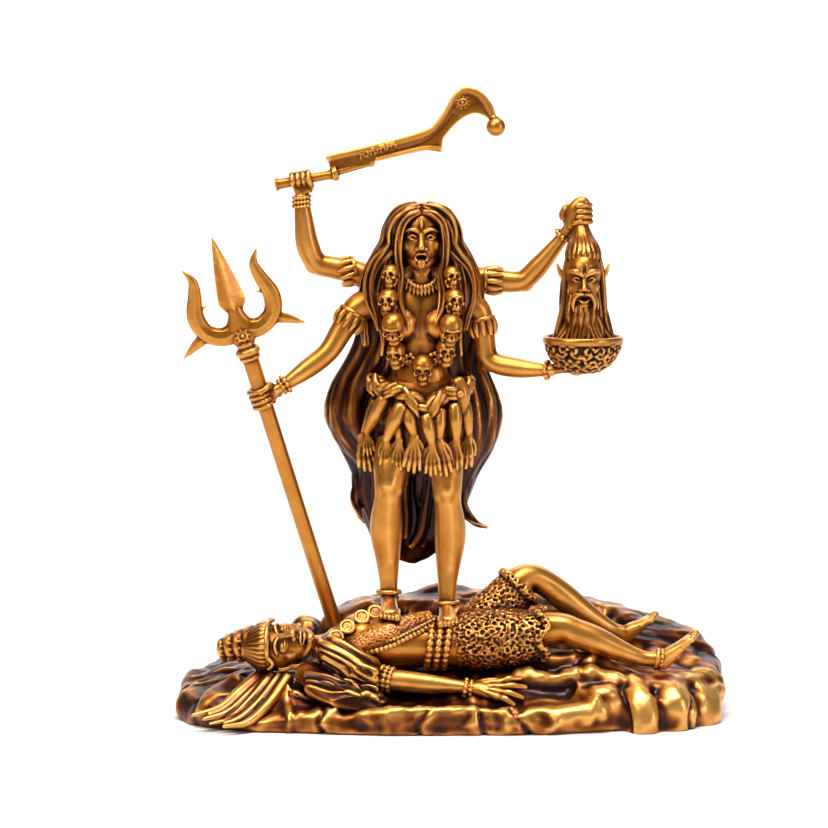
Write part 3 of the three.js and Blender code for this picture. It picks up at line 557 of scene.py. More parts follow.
def standingBody(clay):
    limb(clay, standing["torso"], around=26, blunt=0.1)
    for way in (-1, 1):
        limb(clay, [(1 + 2 * way, 6, 119.5, 3), (1 + 7.4 * way, 7.6, 116, 2.9),
                    (1 + 12.6 * way, 8.4, 113.6, 3.4)])
        ball(clay, (0.8 + 13.4 * way, 6.6, 110.6), (4.8, 5.2, 5.4))
        ball(clay, (0.8 + 6.2 * way, 0.2, 101.6), (5.7, 4.7, 5.5), around=22)
        limb(clay, [(1 + 3 * way, 3.8, 121.6, 2.6), (1 + 7 * way, 3.6, 118, 3.2),
                    (1 + 12 * way, 5, 114.6, 3.6)])
        limb(clay, [(1 + 1.2 * way, 1.2, 116.4, 0.7), (1 + 6 * way, 1.4, 116.2, 0.8),
                    (1 + 11 * way, 3.4, 116, 0.8)])
        ball(clay, (0.8 + 6.4 * way, 11, 66), (7.2, 5.8, 8))
    ball(clay, (0.6, 1.4, 83), (8.4, 4.2, 9), around=22)
    ball(clay, (0.8, 1.2, 102), (6.5, 3.8, 8.6), around=22)
    limb(clay, [(0.9, 4.4, 111, 6.4, 4.4), (1, 4, 116, 4.8, 4.3), (1.1, 3.6, 120, 4.1), (1.1, 3, 126, 4)],
         around=20)
    for key, ankle, toe in soles:
        limb(clay, standing[key], around=20, across=(1, 0, 0), blunt=0.2)
        x, y, z = standing[key][2][:3]
        ball(clay, (x, y - 2.9, z + 0.2), (3, 2.4, 3.4))
        for side in (-1, 1):
            ball(clay, (x + 2.9 * side, y - 0.6, z - 1.6), (2, 2.8, 3.4))
        ankle, toe = Vector(ankle), Vector(toe)
        limb(clay, [(*(ankle + Vector((0, 2.2, 0.3))), 2.6, 3.4),
                    (*(ankle + Vector((0, -2, -0.2))), 2.9, 3.2), (*ankle.lerp(toe, 0.45), 3.1, 2.3),
                    (*ankle.lerp(toe, 0.74), 3.5, 1.5)], around=16, across=(0, 0, 1))
        for side in (-1, 1):
            ball(clay, ankle + Vector((2.5 * side, 0.6, 1.2)), 1.2)
    for key in ("swordArm", "scalpArm", "tridentArm", "bowlArm"):
        limb(clay, standing[key], around=18, across=(0.2, 1, 0.1), blunt=0.2)
    ball(clay, (-36.6, 10.6, 121.6), 3.3)
    ball(clay, (37.4, 10.4, 115.2), 3.1)
    ball(clay, (24.4, 5, 87.6), 3.2)


clay = bmesh.new()
standingBody(clay)
skin = remeshed(clay, voxels["body"], 14)
chest = skin.points[:, 1] < 4
skin.line([(0.9, 0, 110), (0.7, 0, 104), (0.6, 0, 98)], 2.6, -0.3, ignore=1, where=chest)
skin.dent((0.6, -2.8, 81), (0.9, 2, 1.1), 0.9)  # navel
skin.line([(0.5, 0, 94), (0.5, 0, 88), (0.5, 0, 83)], 2.6, -0.2, ignore=1, where=chest)
for way in (-1, 1):
    skin.line([(1 + 1.5 * way, 0, 119), (1 + 3.4 * way, 0, 121), (1 + 4 * way, 0, 125)], 1.2, 0.3, ignore=1,
              where=chest)
    skin.line([(0.6 + 9 * way, 0, 94.6), (0.6 + 5 * way, 0, 95.6), (0.6 + 2.4 * way, 0, 98)], 1.6, -0.25,
              ignore=1, where=chest)
for key in ("rightLeg", "leftLeg"):
    x, y, z = standing[key][2][:3]
    front = skin.points[:, 1] < y + 2
    shin = [(s[0] + 0.8, 0, s[2]) for s in standing[key][3:7]]
    skin.line(shin, 3.4, 0.3, ignore=1, where=front)
    for way in (-1, 1):
        skin.line([(x + 3.3 * way, 0, z + 3.6), (x + 3.1 * way, 0, z), (x + 1.6 * way, 0, z - 3.4)], 2.4,
                  -0.22, ignore=1, where=front)
finished("body", skin, "standing", "figure", satinGold)

clay = bmesh.new()
for key in grips:
    fist(clay, **grips[key])
openHand(clay, (46.5, -4.6, 86), (1, -0.12, 0.02), (0, -1, 0.1), 13, spread=0.22, curl=1)
limb(clay, [(53, 3.4, 135.6, 2.2), (54.2, 2.6, 140.6, 2.9, 2.2), (56.6, 2.4, 143.2, 2.9, 2),
            (58.4, 3, 142.4, 1.8)])
for key, ankle, toe in soles:
    inner = 1 if ankle[0] < 0 else -1
    toes(clay, Vector(toe) + Vector((0, 3.4, 0.5)), (0, -1, -0.12), (inner, 0, 0), (0, 0, -1))
skin = remeshed(clay, voxels["handsAndToes"], 3)
finished("handsAndToes", skin, "standing", "figure", satinGold)

clay = bmesh.new()
# each cuff's middle, its way and its radius
cuffs = [((-24.6, 10, 119.4), (1, 0.05, 0.3), 4.3), ((26, 10, 116.2), (-1, 0, 0.05), 4.2),
         ((-24, 3.9, 103), (0.6, 0.1, 1), 4.7), ((22.3, 4.7, 100.6), (-0.2, 0, 1), 4.2)]
for centre, along, radius in cuffs:
    cuff(clay, centre, along, radius, 11, 6.4, 1.05)
for step in (-1.5, 0, 1.5):  # three rings of beads on the sword arm, then one or two at each other wrist
    beadRing(clay, (-40.7, 6.7, 144 + step), (-0.1, -0.1, 1), 3, 0.62)
beadRing(clay, (50.4, 5.9, 132), (0.6, -0.2, 0.8), 2.9, 0.9)
beadRing(clay, (-46.2, -2, 81), (-0.8, -0.2, -0.55), 2.8, 0.9)
beadRing(clay, (-47.6, -2.2, 80), (-0.8, -0.2, -0.55), 2.6, 0.7)
beadRing(clay, (44.6, -3.9, 86), (1, -0.4, 0), 2.8, 0.95)
hoop(clay, (-10.4, 1.4, 7.6), (0, 0.05, 1), 3.9, 0.75, tall=1.1)
hoop(clay, (9.9, 2.0, 3.6), (0, 0.05, 1), 3.9, 0.75, tall=1.1)
for k in range(-4, 5):  # claws on the neck cord
    top = Vector((1 + 1.15 * k, -1.7 + 0.12 * k * k, 115.2 + 0.12 * k * k))
    limb(clay, [(*top, 0.5), (*(top + Vector((0.14 * k, -0.5, -2.2))), 0.62),
                (*(top + Vector((0.2 * k, -0.2, -3.8))), 0.15)],
         around=8)
beads(clay, [(-4.6, 1.8, 118), (-2.4, -1.2, 115.6), (1, -2, 114.4), (4.4, -1.2, 115.6), (6.6, 1.8, 118)], 0.6)
skin = remeshed(clay, voxels["jewellery"], 1)
finished("jewellery", skin, "standing", "figure", satinGold)

goddessLook = {
    **headLook,
    "dents": [((0, -7.4, -6), (1.9, 3, 1.5), 2.2), ((5.6, -2.2, 2.4), (1.6, 2.6, 2.2), 0.3),
              ((-5.6, -2.2, 2.4), (1.6, 2.6, 2.2), 0.3)],
    "lips": [
        [(-1.8, -5.6, -5.6, 0.25), (-0.9, -6.5, -4.7, 0.5), (0, -6.8, -4.6, 0.45), (0.9, -6.5, -4.7, 0.5),
         (1.8, -5.6, -5.6, 0.25)],
        [(-1.8, -5.6, -5.9, 0.3), (-1.1, -6.2, -7, 0.45), (1.1, -6.2, -7, 0.45), (1.8, -5.6, -5.9, 0.3)],
        [(0, -4.6, -6.6, 1.1, 0.5), (0, -6.5, -6.8, 1.1, 0.5), (0, -7.3, -7.6, 1.1, 0.4),
         (0, -7.1, -8.6, 0.9, 0.35)],
    ],
    "extras": [[(0, -6.9, 5.8, 0.25), (0, -7.1, 4.7, 0.6), (0, -7.1, 3.6, 0.25)]],
    "pupils": [(2.55, -6.3, 0.65, 0.55, 0.35)],
    "lines": [([(1.7, -6.6, -2.8), (2.9, -5.6, -4.6), (3, -5, -6.2)], 0.9, -0.1),
              ([(0, -7.4, -6.8), (0, -7.4, -8.4)], 0.4, -0.12),
              ([(0, -7, -3.8), (0.25, -7, -4.4)], 0.5, -0.2)],
}
skin = head(Matrix.LocRotScale(Vector((1, 3.0, 131.5)), None, Vector((1.2, 1.08, 1.1))), goddessLook,
            voxels["heads"])
finished("face", skin, "standing", "figure", satinGold)

# Hair: a core with strands laid over it
mane = {
    # (height, middle, half width, place front to back, half depth)
    "rings": [(141.6, 0.8, 5.4, 5, 5), (138.4, 0.8, 8.6, 6, 7.2), (133, 0.8, 11, 7.6, 7.8),
              (127, 0.8, 13.6, 9, 7.4), (117, 0.8, 18, 12, 6.4), (97, -0.4, 19.8, 14.2, 6),
              (86, -1.4, 23, 15.6, 6.8), (76, -2, 27.6, 17, 8), (64, -1.2, 28.6, 17, 8.2),
              (52, -0.2, 21.6, 17.2, 7.6), (41, -2.3, 19.4, 17.8, 6.6), (29, -1.8, 15.6, 18, 5.8),
              (22, -3.4, 11.6, 18.2, 4.8), (17.6, -5, 7, 18.2, 3.6)],
    "strands": 44,
    "wave": 0.15,
}
locks = [
    # flat locks from the parting, round the face and over one shoulder, mirrored for the other
    [(0.3, -0.6, 142.4, 1.5, 1.3), (-3.7, -2.0, 141, 2.3, 1.5), (-7.4, -2.0, 138, 2.4, 1.7),
     (-9, -0.6, 133.8, 2.3, 1.7), (-9.2, 0.4, 129.4, 2.4, 1.7), (-11.4, 0.4, 126, 2.5, 1.7),
     (-14.6, 0.6, 121.8, 2.5, 1.7), (-16.6, 0.2, 116, 2.3, 1.6), (-16.4, -0.8, 110, 2.1, 1.5),
     (-14.8, -2, 105, 1.7, 1.3), (-13.8, -2.8, 100, 0.9, 0.8)],
    [(0.4, -2.4, 140.8, 1.0, 0.9), (-3.6, -3.6, 139.4, 1.4, 1.0), (-6.2, -3.0, 136, 1.4, 1.1),
     (-7.2, -1.8, 130, 1.4, 1.2), (-7.1, -1.2, 124, 1.5, 1.2), (-6.4, -1.4, 118.6, 1.7, 1.2),
     (-6.9, -2.4, 113, 1.7, 1.1), (-6.2, -4.2, 108, 1.4, 1.0), (-4.2, -6.2, 103, 0.9, 0.8),
     (-3.5, -6.8, 99.6, 0.4, 0.4)],
    [(-1.4, 1, 142.8, 1.8, 1.5), (-6.6, 1.2, 140.4, 2.5, 1.9), (-10.2, 2.2, 135, 2.5, 2.1),
     (-11.6, 3, 129.6, 2.5, 2.1), (-14.2, 3.2, 125, 2.6, 2.1), (-17, 3.6, 119, 2.5, 1.9),
     (-18.8, 4.2, 111, 2.3, 1.9), (-19.2, 5.2, 102, 1.9, 1.7), (-18.4, 6.2, 94, 1.2, 1.2)],
    [(-9.6, 0.8, 127, 1.2, 1.1), (-11.6, -0.2, 121, 1.5, 1.2), (-13.2, -0.8, 114, 1.6, 1.1),
     (-13.4, -2, 107, 1.3, 1.0), (-12.2, -3, 98, 1.0, 0.8), (-12.8, -2.6, 91, 0.5, 0.5)],
]


def maneSpot(share, angle, lift=0.0):
    height, middle, half, back, deep = smoothRun(mane["rings"], [share])[0]
    return (middle + (half + lift) * math.cos(angle), back + (deep + lift) * math.sin(angle), height)


def bundle(clay, path, count, turns, thin=0.56):
    # Strands twisted round each other along a path whose stations carry the bundle's half width
    run = smoothRun(path, np.linspace(0, 1, 3 * len(path)))
    along = unit(np.gradient(run[:, :3], axis=0))
    out = unit(np.cross(along, (0.2, 1, 0.1)))
    up = np.cross(out, along)
    for i in range(count):
        a = 2 * math.pi * (i / count + turns * np.linspace(0, 1, len(run)))[:, None]
        centre = run[:, :3] + (out * np.cos(a) + up * np.sin(a)) * run[:, 3:] * 0.55
        limb(clay, [(*c, g * thin) for c, g in zip(centre, run[:, 3])], around=9, rows=2)


def combedLock(clay, path, strands=4):
    # A flat lock: strands side by side across its width, over a thin core
    limb(clay, [(x, y, z, wide, deep * 0.75) for x, y, z, wide, deep in path], around=14)
    run = smoothRun(path, np.linspace(0, 1, 3 * len(path)))
    side = unit(np.cross(unit(np.gradient(run[:, :3], axis=0)), (0, 1, 0)))
    for i in range(strands):
        place = (i + 0.5) / strands * 2 - 1
        stout = 1.15 + 0.4 * math.sin(2.4 * i + path[0][0])
        drift = 0.3 * np.sin(7 * np.linspace(0, 1, len(run)) + 2.1 * i)
        centre = run[:, :3] + side * ((place * 0.8 + drift) * run[:, 3])[:, None]
        centre[:, 1] -= run[:, 4] * (0.55 - 0.3 * place**2 + 0.2 * (i % 2))
        limb(clay, [(*c, w * stout / strands, d * 0.6) for c, w, d in zip(centre, run[:, 3], run[:, 4])],
             around=9, rows=2)


clay = bmesh.new()
core = [(middle, back, height, half - 1.4, deep - 1.4) for height, middle, half, back, deep in mane["rings"]]
limb(clay, core, around=40, blunt=0.35)
shuffle = np.random.RandomState(5)
for i in range(mane["strands"]):
    start, drift, end, lift = 2 * math.pi * (i + 0.5) / mane["strands"], *shuffle.rand(3)
    part = 1 if math.cos(start) > 0 else -1
    path = [(0.8 + 0.7 * part, 5 + 5.4 * math.sin(start), 142.2 + 0.9 * abs(math.cos(start)), 1.1)]
    for share in np.linspace(0.06, 0.88 + 0.05 * end, 14):
        angle = start + mane["wave"] * math.sin(7 * share + 6.3 * drift)
        angle += 0.06 * math.sin(15 * share + 3 * lift)
        spread = smoothRun(mane["rings"], [share])[0][2] / 20
        thick = (1.9 + 0.7 * lift) * spread ** 0.7 * (1 - 0.6 * max(0, share - 0.85) / 0.15)
        path.append((*maneSpot(share, angle, 0.8 * math.sin(9 * share + 9 * lift) * share - 0.5), thick))
    limb(clay, path, around=9, rows=3)
for path in ([(17, 15, 46, 2.6), (15.4, 14, 37, 2.3), (19, 13, 31, 1.5), (24.4, 13, 28.6, 0.6)],
             [(-20, 16, 46, 2.4), (-22.4, 15, 39, 1.8), (-21, 14, 33, 1), (-19, 14, 30, 0.5)]):
    bundle(clay, path, 3, 0.6)
skin = remeshed(clay, voxels["hair"], 4)
x, y, z = skin.points.T
share = np.arctan2(y - 12, x - 0.5)
comb = np.sin(46 * share + 2 * np.sin(z * 0.11) + np.sin(z * 0.31 + 4 * share))
comb += 0.6 * np.sin(83 * share + 3 * np.sin(z * 0.09 + 1) + 1.5 * np.sin(x * 0.4))
behind = smoothstep(y, 4, 10)
skin.move(0.13 * comb * smoothstep(z, 30, 62) * (0.25 + 0.75 * behind))
skin.line([(0.8, -3, 141), (0.8, 2, 144), (0.8, 9, 144)], 1.1, -0.7)
# darker towards the bottom of the mane
skin.patinaAndPaintedShade = 0.02 + 0.26 * (1 - smoothstep(z, 40, 74))
finished("hair", skin, "standing", "figure", glossyBrown)

clay = bmesh.new()
for lock in locks:
    for way in (-1, 1):
        combedLock(clay, [(1 - (x - 1) * way, y, z, *sizes) for x, y, z, *sizes in lock])
skin = remeshed(clay, voxels["frontLocks"], 2)
finished("frontLocks", skin, "standing", "figure", lockGold, relief=0.7)

# A garland of skulls on a cord: (centre, size, nod, turn)
skulls = [((-9.6, -2.6, 119.6), 3.0, 0, -25), ((-10.4, -4.4, 110.8), 3.6, 0, -20),
          ((-8.8, -7.4, 102), 4.2, 38, -10), ((-7.8, -3, 92.4), 3.5, 18, -20),
          ((1.4, -3.4, 87.4), 3.9, 24, 0), ((9.4, -3, 93.4), 3.5, 14, 15), ((11.2, -7.4, 101.6), 4.2, 38, 10),
          ((12.2, -4.4, 110.8), 3.6, 0, 20), ((11.4, -2.6, 119), 3.0, 0, 25)]


def skullShape(clay):
    ball(clay, (0, 0, 0.12), (0.95, 1.05, 0.9), around=20)
    ball(clay, (0, -0.42, -0.86), (0.52, 0.56, 0.5))
    ball(clay, (0, -0.42, -1.42), (0.5, 0.5, 0.4))
    ball(clay, (0, -0.9, 0.28), (0.62, 0.2, 0.16))
    for way in (-1, 1):
        ball(clay, (0.62 * way, -0.56, -0.44), (0.26, 0.42, 0.22))
        limb(clay, [(0.66 * way, 0.1, -0.7, 0.2), (0.5 * way, -0.2, -1.4, 0.2)])


clay = bmesh.new()
seats = [Matrix.LocRotScale(Vector(at), Euler((math.radians(nod), 0, math.radians(turn))),
                            Vector((size,) * 3))
         for at, size, nod, turn in skulls]
for seat in seats:
    placed(clay, seat, skullShape)
cordPath = [Vector(skull[0]) + Vector((0, 2.2, -1)) for skull in skulls]
limb(clay, [(-8, 2, 124, 0.8)] + [(*spot, 0.9) for spot in cordPath] + [(10, 2, 124, 0.8)], around=10)
for a, b in zip(skulls, skulls[1:]):
    middle = (Vector(a[0]) + Vector(b[0])) / 2
    for k in range(5):
        ball(clay, middle + Vector((math.cos(1.3 * k), 0.6, math.sin(1.3 * k))) * 1.3, 0.9, around=8)
skin = remeshed(clay, voxels["garland"], 2)
for seat, (_, size, _, _) in zip(seats, skulls):
    tilt = np.array(seat.to_3x3().normalized())
    on = lambda *spot: seat @ Vector(spot)
    sized = lambda *sizes: tuple(size * s for s in sizes)
    for way in (-1, 1):
        skin.dent(on(0.4 * way, -0.98, -0.14), sized(0.36, 0.7, 0.34), 0.42 * size, tilt)
        skin.dent(on(0.66 * way, -0.5, -1.0), sized(0.24, 0.5, 0.3), 0.16 * size, tilt)
    skin.dent(on(0, -1.0, -0.56), sized(0.17, 0.4, 0.24), 0.24 * size, tilt)
    skin.aim()
    skin.line([on(-0.5, -0.7, -1.16), on(0, -0.98, -1.14), on(0.5, -0.7, -1.16)], 0.12 * size, -0.1 * size)
    for k in range(-2, 3):
        skin.line([on(0.16 * k, -0.95, -0.92), on(0.16 * k, -0.98, -1.15), on(0.15 * k, -0.92, -1.4)],
                  0.07 * size, -0.05 * size)
finished("garland", skin, "standing", "figure", satinGold)

# The skirt: a belt of twisted rope and severed arms that hang from it, fingers down
belt = [(-180, 78), (-110, 80), (-68, 81.2), (-24, 77.7), (-4, 74.3), (7, 71.2), (23.6, 75.7), (51, 79.7),
        (110, 80), (180, 78)]
hanging = [
    # (top, wrist, finger tips) as x and z, how far in front, the side of the thumb, the half width at the top
    ((-12.1, 75.7), (-18, 63.9), (-17, 55), 0, 1, 2.6),
    ((-15, 74), (-19.4, 62.8), (-17.5, 49.1), -1, -1, 2.0),
    ((-6.2, 73.4), (-11.1, 61.9), (-11.1, 51.5), 0.8, 1, 2.7),
    ((-4.2, 71.8), (-1.3, 63.4), (-2.7, 50), 0, -1, 2.3),
    ((2.7, 69.8), (4.6, 60.6), (5.1, 49), 0.4, 1, 2.4),
    ((7.6, 71.8), (7.1, 61.9), (8.8, 48.6), -0.2, -1, 2.2),
    ((12.5, 73.3), (13, 61.9), (12.5, 50.6), 0.4, 1, 2.5),
    ((15.9, 74), (17.4, 63), (15.4, 51), 0, -1, 2.5),
    ((-8.6, 72), (-6.8, 62), (-7, 50.4), -0.6, 1, 2.2),
]


def skirtFront(x, z):
    flare = 0.05 * (80 - z)
    return 5.5 - (11.4 + flare) * math.sqrt(max(0.05, 1 - ((x - 0.8) / (17.4 + flare)) ** 2))


clay = bmesh.new()
for strand in range(3):
    path = []
    for angle in np.linspace(-180, 180, 76):
        z = float(np.interp(angle, *zip(*belt))) + 0.5 * math.sin(math.radians(3.1 * angle) + 2 * strand)
        coil = math.radians(angle * 7 + 120 * strand)
        wide, deep = 16 + 1.3 * math.cos(coil), 10.6 + 1.3 * math.cos(coil)
        a = math.radians(angle)
        path.append((0.8 + wide * math.sin(a), 5.5 - deep * math.cos(a), z + 1.7 * math.sin(coil),
                     1.45 + 0.45 * math.sin(math.radians(5 * angle) + 2.4 * strand)))
    limb(clay, path, around=9, rows=2)
onBelt = lambda angle, down, out: (
    0.8 + (16 + out) * math.sin(math.radians(angle)), 5.5 - (10.6 + out) * math.cos(math.radians(angle)),
    float(np.interp(angle, *zip(*belt))) - down)
for angle, way in ((-152, 1), (-118, -1), (-84, 1), (-58, 1), (-37, -1), (-12, 1), (16, -1), (38, 1),
                   (64, -1), (98, 1), (140, -1)):
    for finger in range(3):  # hands that clasp the belt
        down = 1.5 * finger - 1.6
        limb(clay, [(*onBelt(angle - 7 * way, down - 1.4, 1.4), 0.9), (*onBelt(angle, down, 2.5), 0.85),
                    (*onBelt(angle + 7 * way, down + 1.6, 2), 0.75),
                    (*onBelt(angle + 10 * way, down + 3, 0.8), 0.6)], around=9)
limb(clay, [(0.8, 5.5, 84, 10, 6.4), (0.8, 5.5, 79, 14.4, 9.4), (0.8, 5.5, 72, 15.8, 10.4),
            (0.8, 5.5, 62, 13.6, 9)],
     around=30, blunt=0.1)
limb(clay, [(13.6, -1.6, 82, 2.3), (15.2, -2.2, 77, 2.8), (14.4, -2, 71.6, 2.2)])
ball(clay, (14.4, -4, 77.6), 1.5)
for top, wrist, tip, ahead, thumb, stub in hanging:
    at = lambda x, z, more=0.0: Vector((x, skirtFront(x, z) - ahead - more, z))
    start, joint, end = at(*top), at(*wrist, 0.2), at(*tip, -0.4)
    middle = start.lerp(joint, 0.5) + Vector((0, -0.7, 0))
    limb(clay, [(*start, stub * 0.9), (*start.lerp(middle, 0.5), stub), (*middle, stub * 0.92),
                (*joint, stub * 0.55)],
         around=14)
    reach = end - joint
    openHand(clay, joint, reach, (thumb, 0, 0), reach.length * 1.04, back=(0, -1, 0), spread=0.08, curl=0.4,
             wristSize=0.13)
skin = remeshed(clay, voxels["skirt"], 2)
finished("skirt", skin, "standing", "figure", satinGold)

# The bowl and the bearded head that hangs over it by its hair
bowl = {"middle": (56.8, -6, 98.2), "radius": 14, "wall": 1.5, "rim": 2.6, "leaves": 17}
clay = bmesh.new()
r = bowl["radius"]
profile = [(0.01, -0.94 * r)] + [((r - 0.9) * math.cos(math.radians(a)),
                                  -0.94 * r * math.sin(math.radians(a)))
                                 for a in (80, 70, 60, 50, 40, 30, 20, 10)]
profile += [(r - 0.9, -bowl["rim"] - 0.3), (r - 0.2, -bowl["rim"]), (r + 0.15, -1.3), (r - 0.2, -0.3),
            (r - 0.8, 0), (r - bowl["wall"], -0.4)]
profile += [(r - bowl["wall"] - 0.8, -3), (0.01, -3.4)]
ring = [clay.verts.new((x, 0, z)) for x, z in profile]
lathe = [clay.edges.new(pair) for pair in zip(ring, ring[1:])]
bmesh.ops.spin(clay, geom=ring + lathe, cent=(0, 0, 0), axis=(0, 0, 1), angle=2 * math.pi, steps=56,
               use_merge=True)
bmesh.ops.remove_doubles(clay, verts=clay.verts, dist=0.02)
bmesh.ops.transform(clay, matrix=Matrix.Translation(bowl["middle"]), verts=clay.verts)
skin = remeshed(clay, voxels["bowl"], 1)
plain = skin.points.copy()
onBowl = lambda a, down: Vector(bowl["middle"]) + Vector((
    (r - 0.9) * math.cos(math.radians(down)) * math.cos(a),
    (r - 0.9) * math.cos(math.radians(down)) * math.sin(a), -0.94 * r * math.sin(math.radians(down))))
curls = [[(-0.14, 17), (-0.02, 12), (0.1, 16), (0.08, 23), (-0.02, 22)],
         [(-0.16, 26), (-0.02, 31), (0.14, 27), (0.2, 35)], [(-0.12, 36), (0.02, 42), (0.1, 38)],
         [(-0.2, 48), (0, 44), (0.18, 52), (0.02, 58)], [(-0.24, 62), (0.1, 66)]]
for i in range(bowl["leaves"]):
    a = 2 * math.pi * i / bowl["leaves"]
    flip = 1 - 2 * (i % 2)
    for curl in curls:
        lean = 0.06 * math.sin(3.7 * i + curl[0][1])
        skin.line([onBowl(a + flip * turn + lean, down + 2 * math.sin(5 * i)) for turn, down in curl], 1, 0.9,
                  power=0.7)
raised = np.linalg.norm(skin.points - plain, axis=1)
below = smoothstep(bowl["middle"][2] - skin.points[:, 2], 2.4, 3.4)
skin.patinaAndPaintedShade = 0.45 * (1 - smoothstep(raised, 0.1, 0.6)) * below  # the ground of the scrolls stays brown
finished("bowl", skin, "standing", "figure", lockGold)

victimLook = {
    **headLook,
    "brow": [(0.7, -7.2, 1.9, 0.9), (2.9, -7.2, 3.2, 1.1), (5.2, -4.9, 3.0, 0.6)],
    "dents": [((0, -7.4, -5.9), (1.9, 3, 1.2), 2.0)],
    "lips": [[(-2.3, -5.9, -5.6, 0.3), (0, -6.9, -4.9, 0.5), (2.3, -5.9, -5.6, 0.3)],
             [(-2.1, -5.8, -6.2, 0.3), (0, -6.6, -7.3, 0.6), (2.1, -5.8, -6.2, 0.3)]],
    "extras": [[(way * a, b, c, r) for a, b, c, r in run] for way in (-1, 1) for run in (
        [(0.5, -7.6, -4.4, 0.6), (2.4, -7, -5, 0.7), (3.6, -6, -7.4, 0.7), (3.4, -5.6, -10.4, 0.3)],
        [(0.9, -7.4, -4.2, 0.5), (3.2, -6.4, -4.8, 0.6), (4.6, -5, -7.2, 0.5), (4.8, -4.6, -9.8, 0.25)],
        [(5.9, 0.4, 0.6, 1.0), (7.4, 0.8, 1.8, 1.0), (8.9, 1.2, 5.4, 0.35)],
        [(0.8, -7.6, 3, 0.3), (1.0, -7.7, 4.4, 0.35), (0.7, -7.4, 5.6, 0.25)])],
    "pupils": [(2.55, -6.3, 0.65, 0.55, 0.35)],
    "lines": [([(-2.6, -7, 5.4), (0, -7.4, 5), (2.6, -7, 5.4)], 0.5, -0.25),
              ([(-2.6, -7, 6.6), (0, -7.4, 6.3), (2.6, -7, 6.6)], 0.5, -0.2)],
}
victimPlace = Matrix.Translation((56.9, -4.2, 117.4)) @ Matrix.Scale(1.02, 4)
skin = head(victimPlace, victimLook, voxels["heads"])
finished("severedHead", skin, "standing", "figure", satinGold)

clay = bmesh.new()
shuffle = np.random.RandomState(11)
for i in range(13):  # the beard, from the jaw down into the bowl
    side, kink = (i - 6) / 6, shuffle.rand() - 0.5
    at = lambda x, y, z: tuple(victimPlace @ Vector((x, y, z)))
    limb(clay, [(*at(4.9 * side, -4.8 + 3.4 * side**2, -7.4 + 4 * side**2), 0.7),
                (*at(5.2 * side + kink, -6.2 + 3 * side**2, -11), 0.8 + 0.4 * (i % 2)),
                (*at(6.2 * side - kink, -5.8 + 2.6 * side**2, -15.4), 1.1),
                (*at(8.6 * side + 1.4 * kink, -6.6 + 3 * side**2, -20), 0.9)], around=9)
limb(clay, [(56.9, -2.4, 112.4, 6.4, 4.4), (57, -3.2, 104, 7.4, 5.2), (57, -4, 96.6, 9.6, 7.4)], around=20)
for i in range(26):  # the hair behind the head, falling into the bowl, and the hank held up in the fist
    a = math.radians(-14 + 208 * i / 25)
    kink = shuffle.rand() - 0.5
    out, deep = math.cos(a), math.sin(a)
    limb(clay, [(57 + 5.2 * out, -3 + 5.6 * deep, 125.6, 1.0), (57 + 6.5 * out, -2.8 + 6.2 * deep, 119, 1.2),
                (57 + (6.7 + kink) * out, -3.2 + 5.8 * deep, 111, 1.3),
                (57 + (8 - kink) * out, -4 + 6.6 * deep, 103, 1.3),
                (57 + 10.2 * out, -5 + 8.4 * deep, 96, 1.1)], around=9)
for i in range(20):
    a = 2 * math.pi * i / 20
    out, deep = math.cos(a), math.sin(a)
    limb(clay, [(56.9 + 3.4 * out, -2 + 3.4 * deep, 122, 0.5),
                (56.9 + 5.3 * out, -2.8 + 5.5 * deep, 125 - 0.6 * deep, 1.1),
                (56.9 + 4.6 * out, -1.8 + 4.5 * deep, 128.6, 1.25),
                (56.6 + 3 * out, 0.6 + 2.8 * deep, 132, 1.1), (56.3 + 1.9 * out, 2.8 + 1.9 * deep, 136, 0.8),
                (56.2 + 1.3 * out, 3.8 + 1.3 * deep, 140.6, 0.6)], around=9)
skin = remeshed(clay, voxels["severedHair"], 2)
finished("severedHair", skin, "standing", "figure", lockGold)

# The rock's shape: how high its top stands, over a rounded plan
rockLook = {
    "length": 193.6, "depth": 90, "bed": 17, "ridge": 40,
    "edge": [(-1, 9), (-0.84, 5), (-0.7, 3), (-0.52, 7.4), (0.1, 8.4), (0.4, 8.4), (0.54, 12.6), (0.66, 15.4),
             (0.74, 12), (0.8, 9), (1, 9)],
    "crest": [(-1, 0.18), (-0.76, 0.28), (-0.52, 0.45), (-0.46, 0.78), (-0.32, 0.94), (-0.1, 0.98),
              (0.42, 0.98), (0.6, 0.88), (0.88, 0.66), (1, 0.5)],
    "blocks": (17, 15, 11),
}


def rockOutline(angle):
    reach = 1 + 0.03 * np.sin(3 * angle + 0.6) + 0.025 * np.sin(7 * angle) + 0.015 * np.sin(12 * angle + 2)
    reach -= 0.08 * np.exp(-(((angle - 5.5) / 0.35) ** 2))
    squared = lambda value: np.sign(value) * np.abs(value) ** 0.55
    edge = np.stack([squared(np.cos(angle)) * reach, squared(np.sin(angle)) * reach], 1)
    return 2 * (edge - edge.min(0)) / (edge.max(0) - edge.min(0)) - 1


def rockHeight(x, y):
    inside = smoothstep(y, -0.95, -0.34)
    edge = float(np.interp(x, *zip(*rockLook["edge"])))
    bed = edge + (rockLook["bed"] - edge) * inside
    bed += (min(bed, 11) - bed) * (1 - smoothstep(x, -0.97, -0.74))
    rise = smoothstep(y, -0.1, 0.34) * (1 - 0.5 * smoothstep(y, 0.6, 0.95))
    crest = rockLook["ridge"] * np.interp(x, *zip(*rockLook["crest"]))
    return float(bed + (np.maximum(bed, crest) - bed) * rise)


def onRock(x, y, lift=0.0):
    return (x, y, rockHeight(x / rockLook["length"] * 2, y / rockLook["depth"] * 2) + lift)


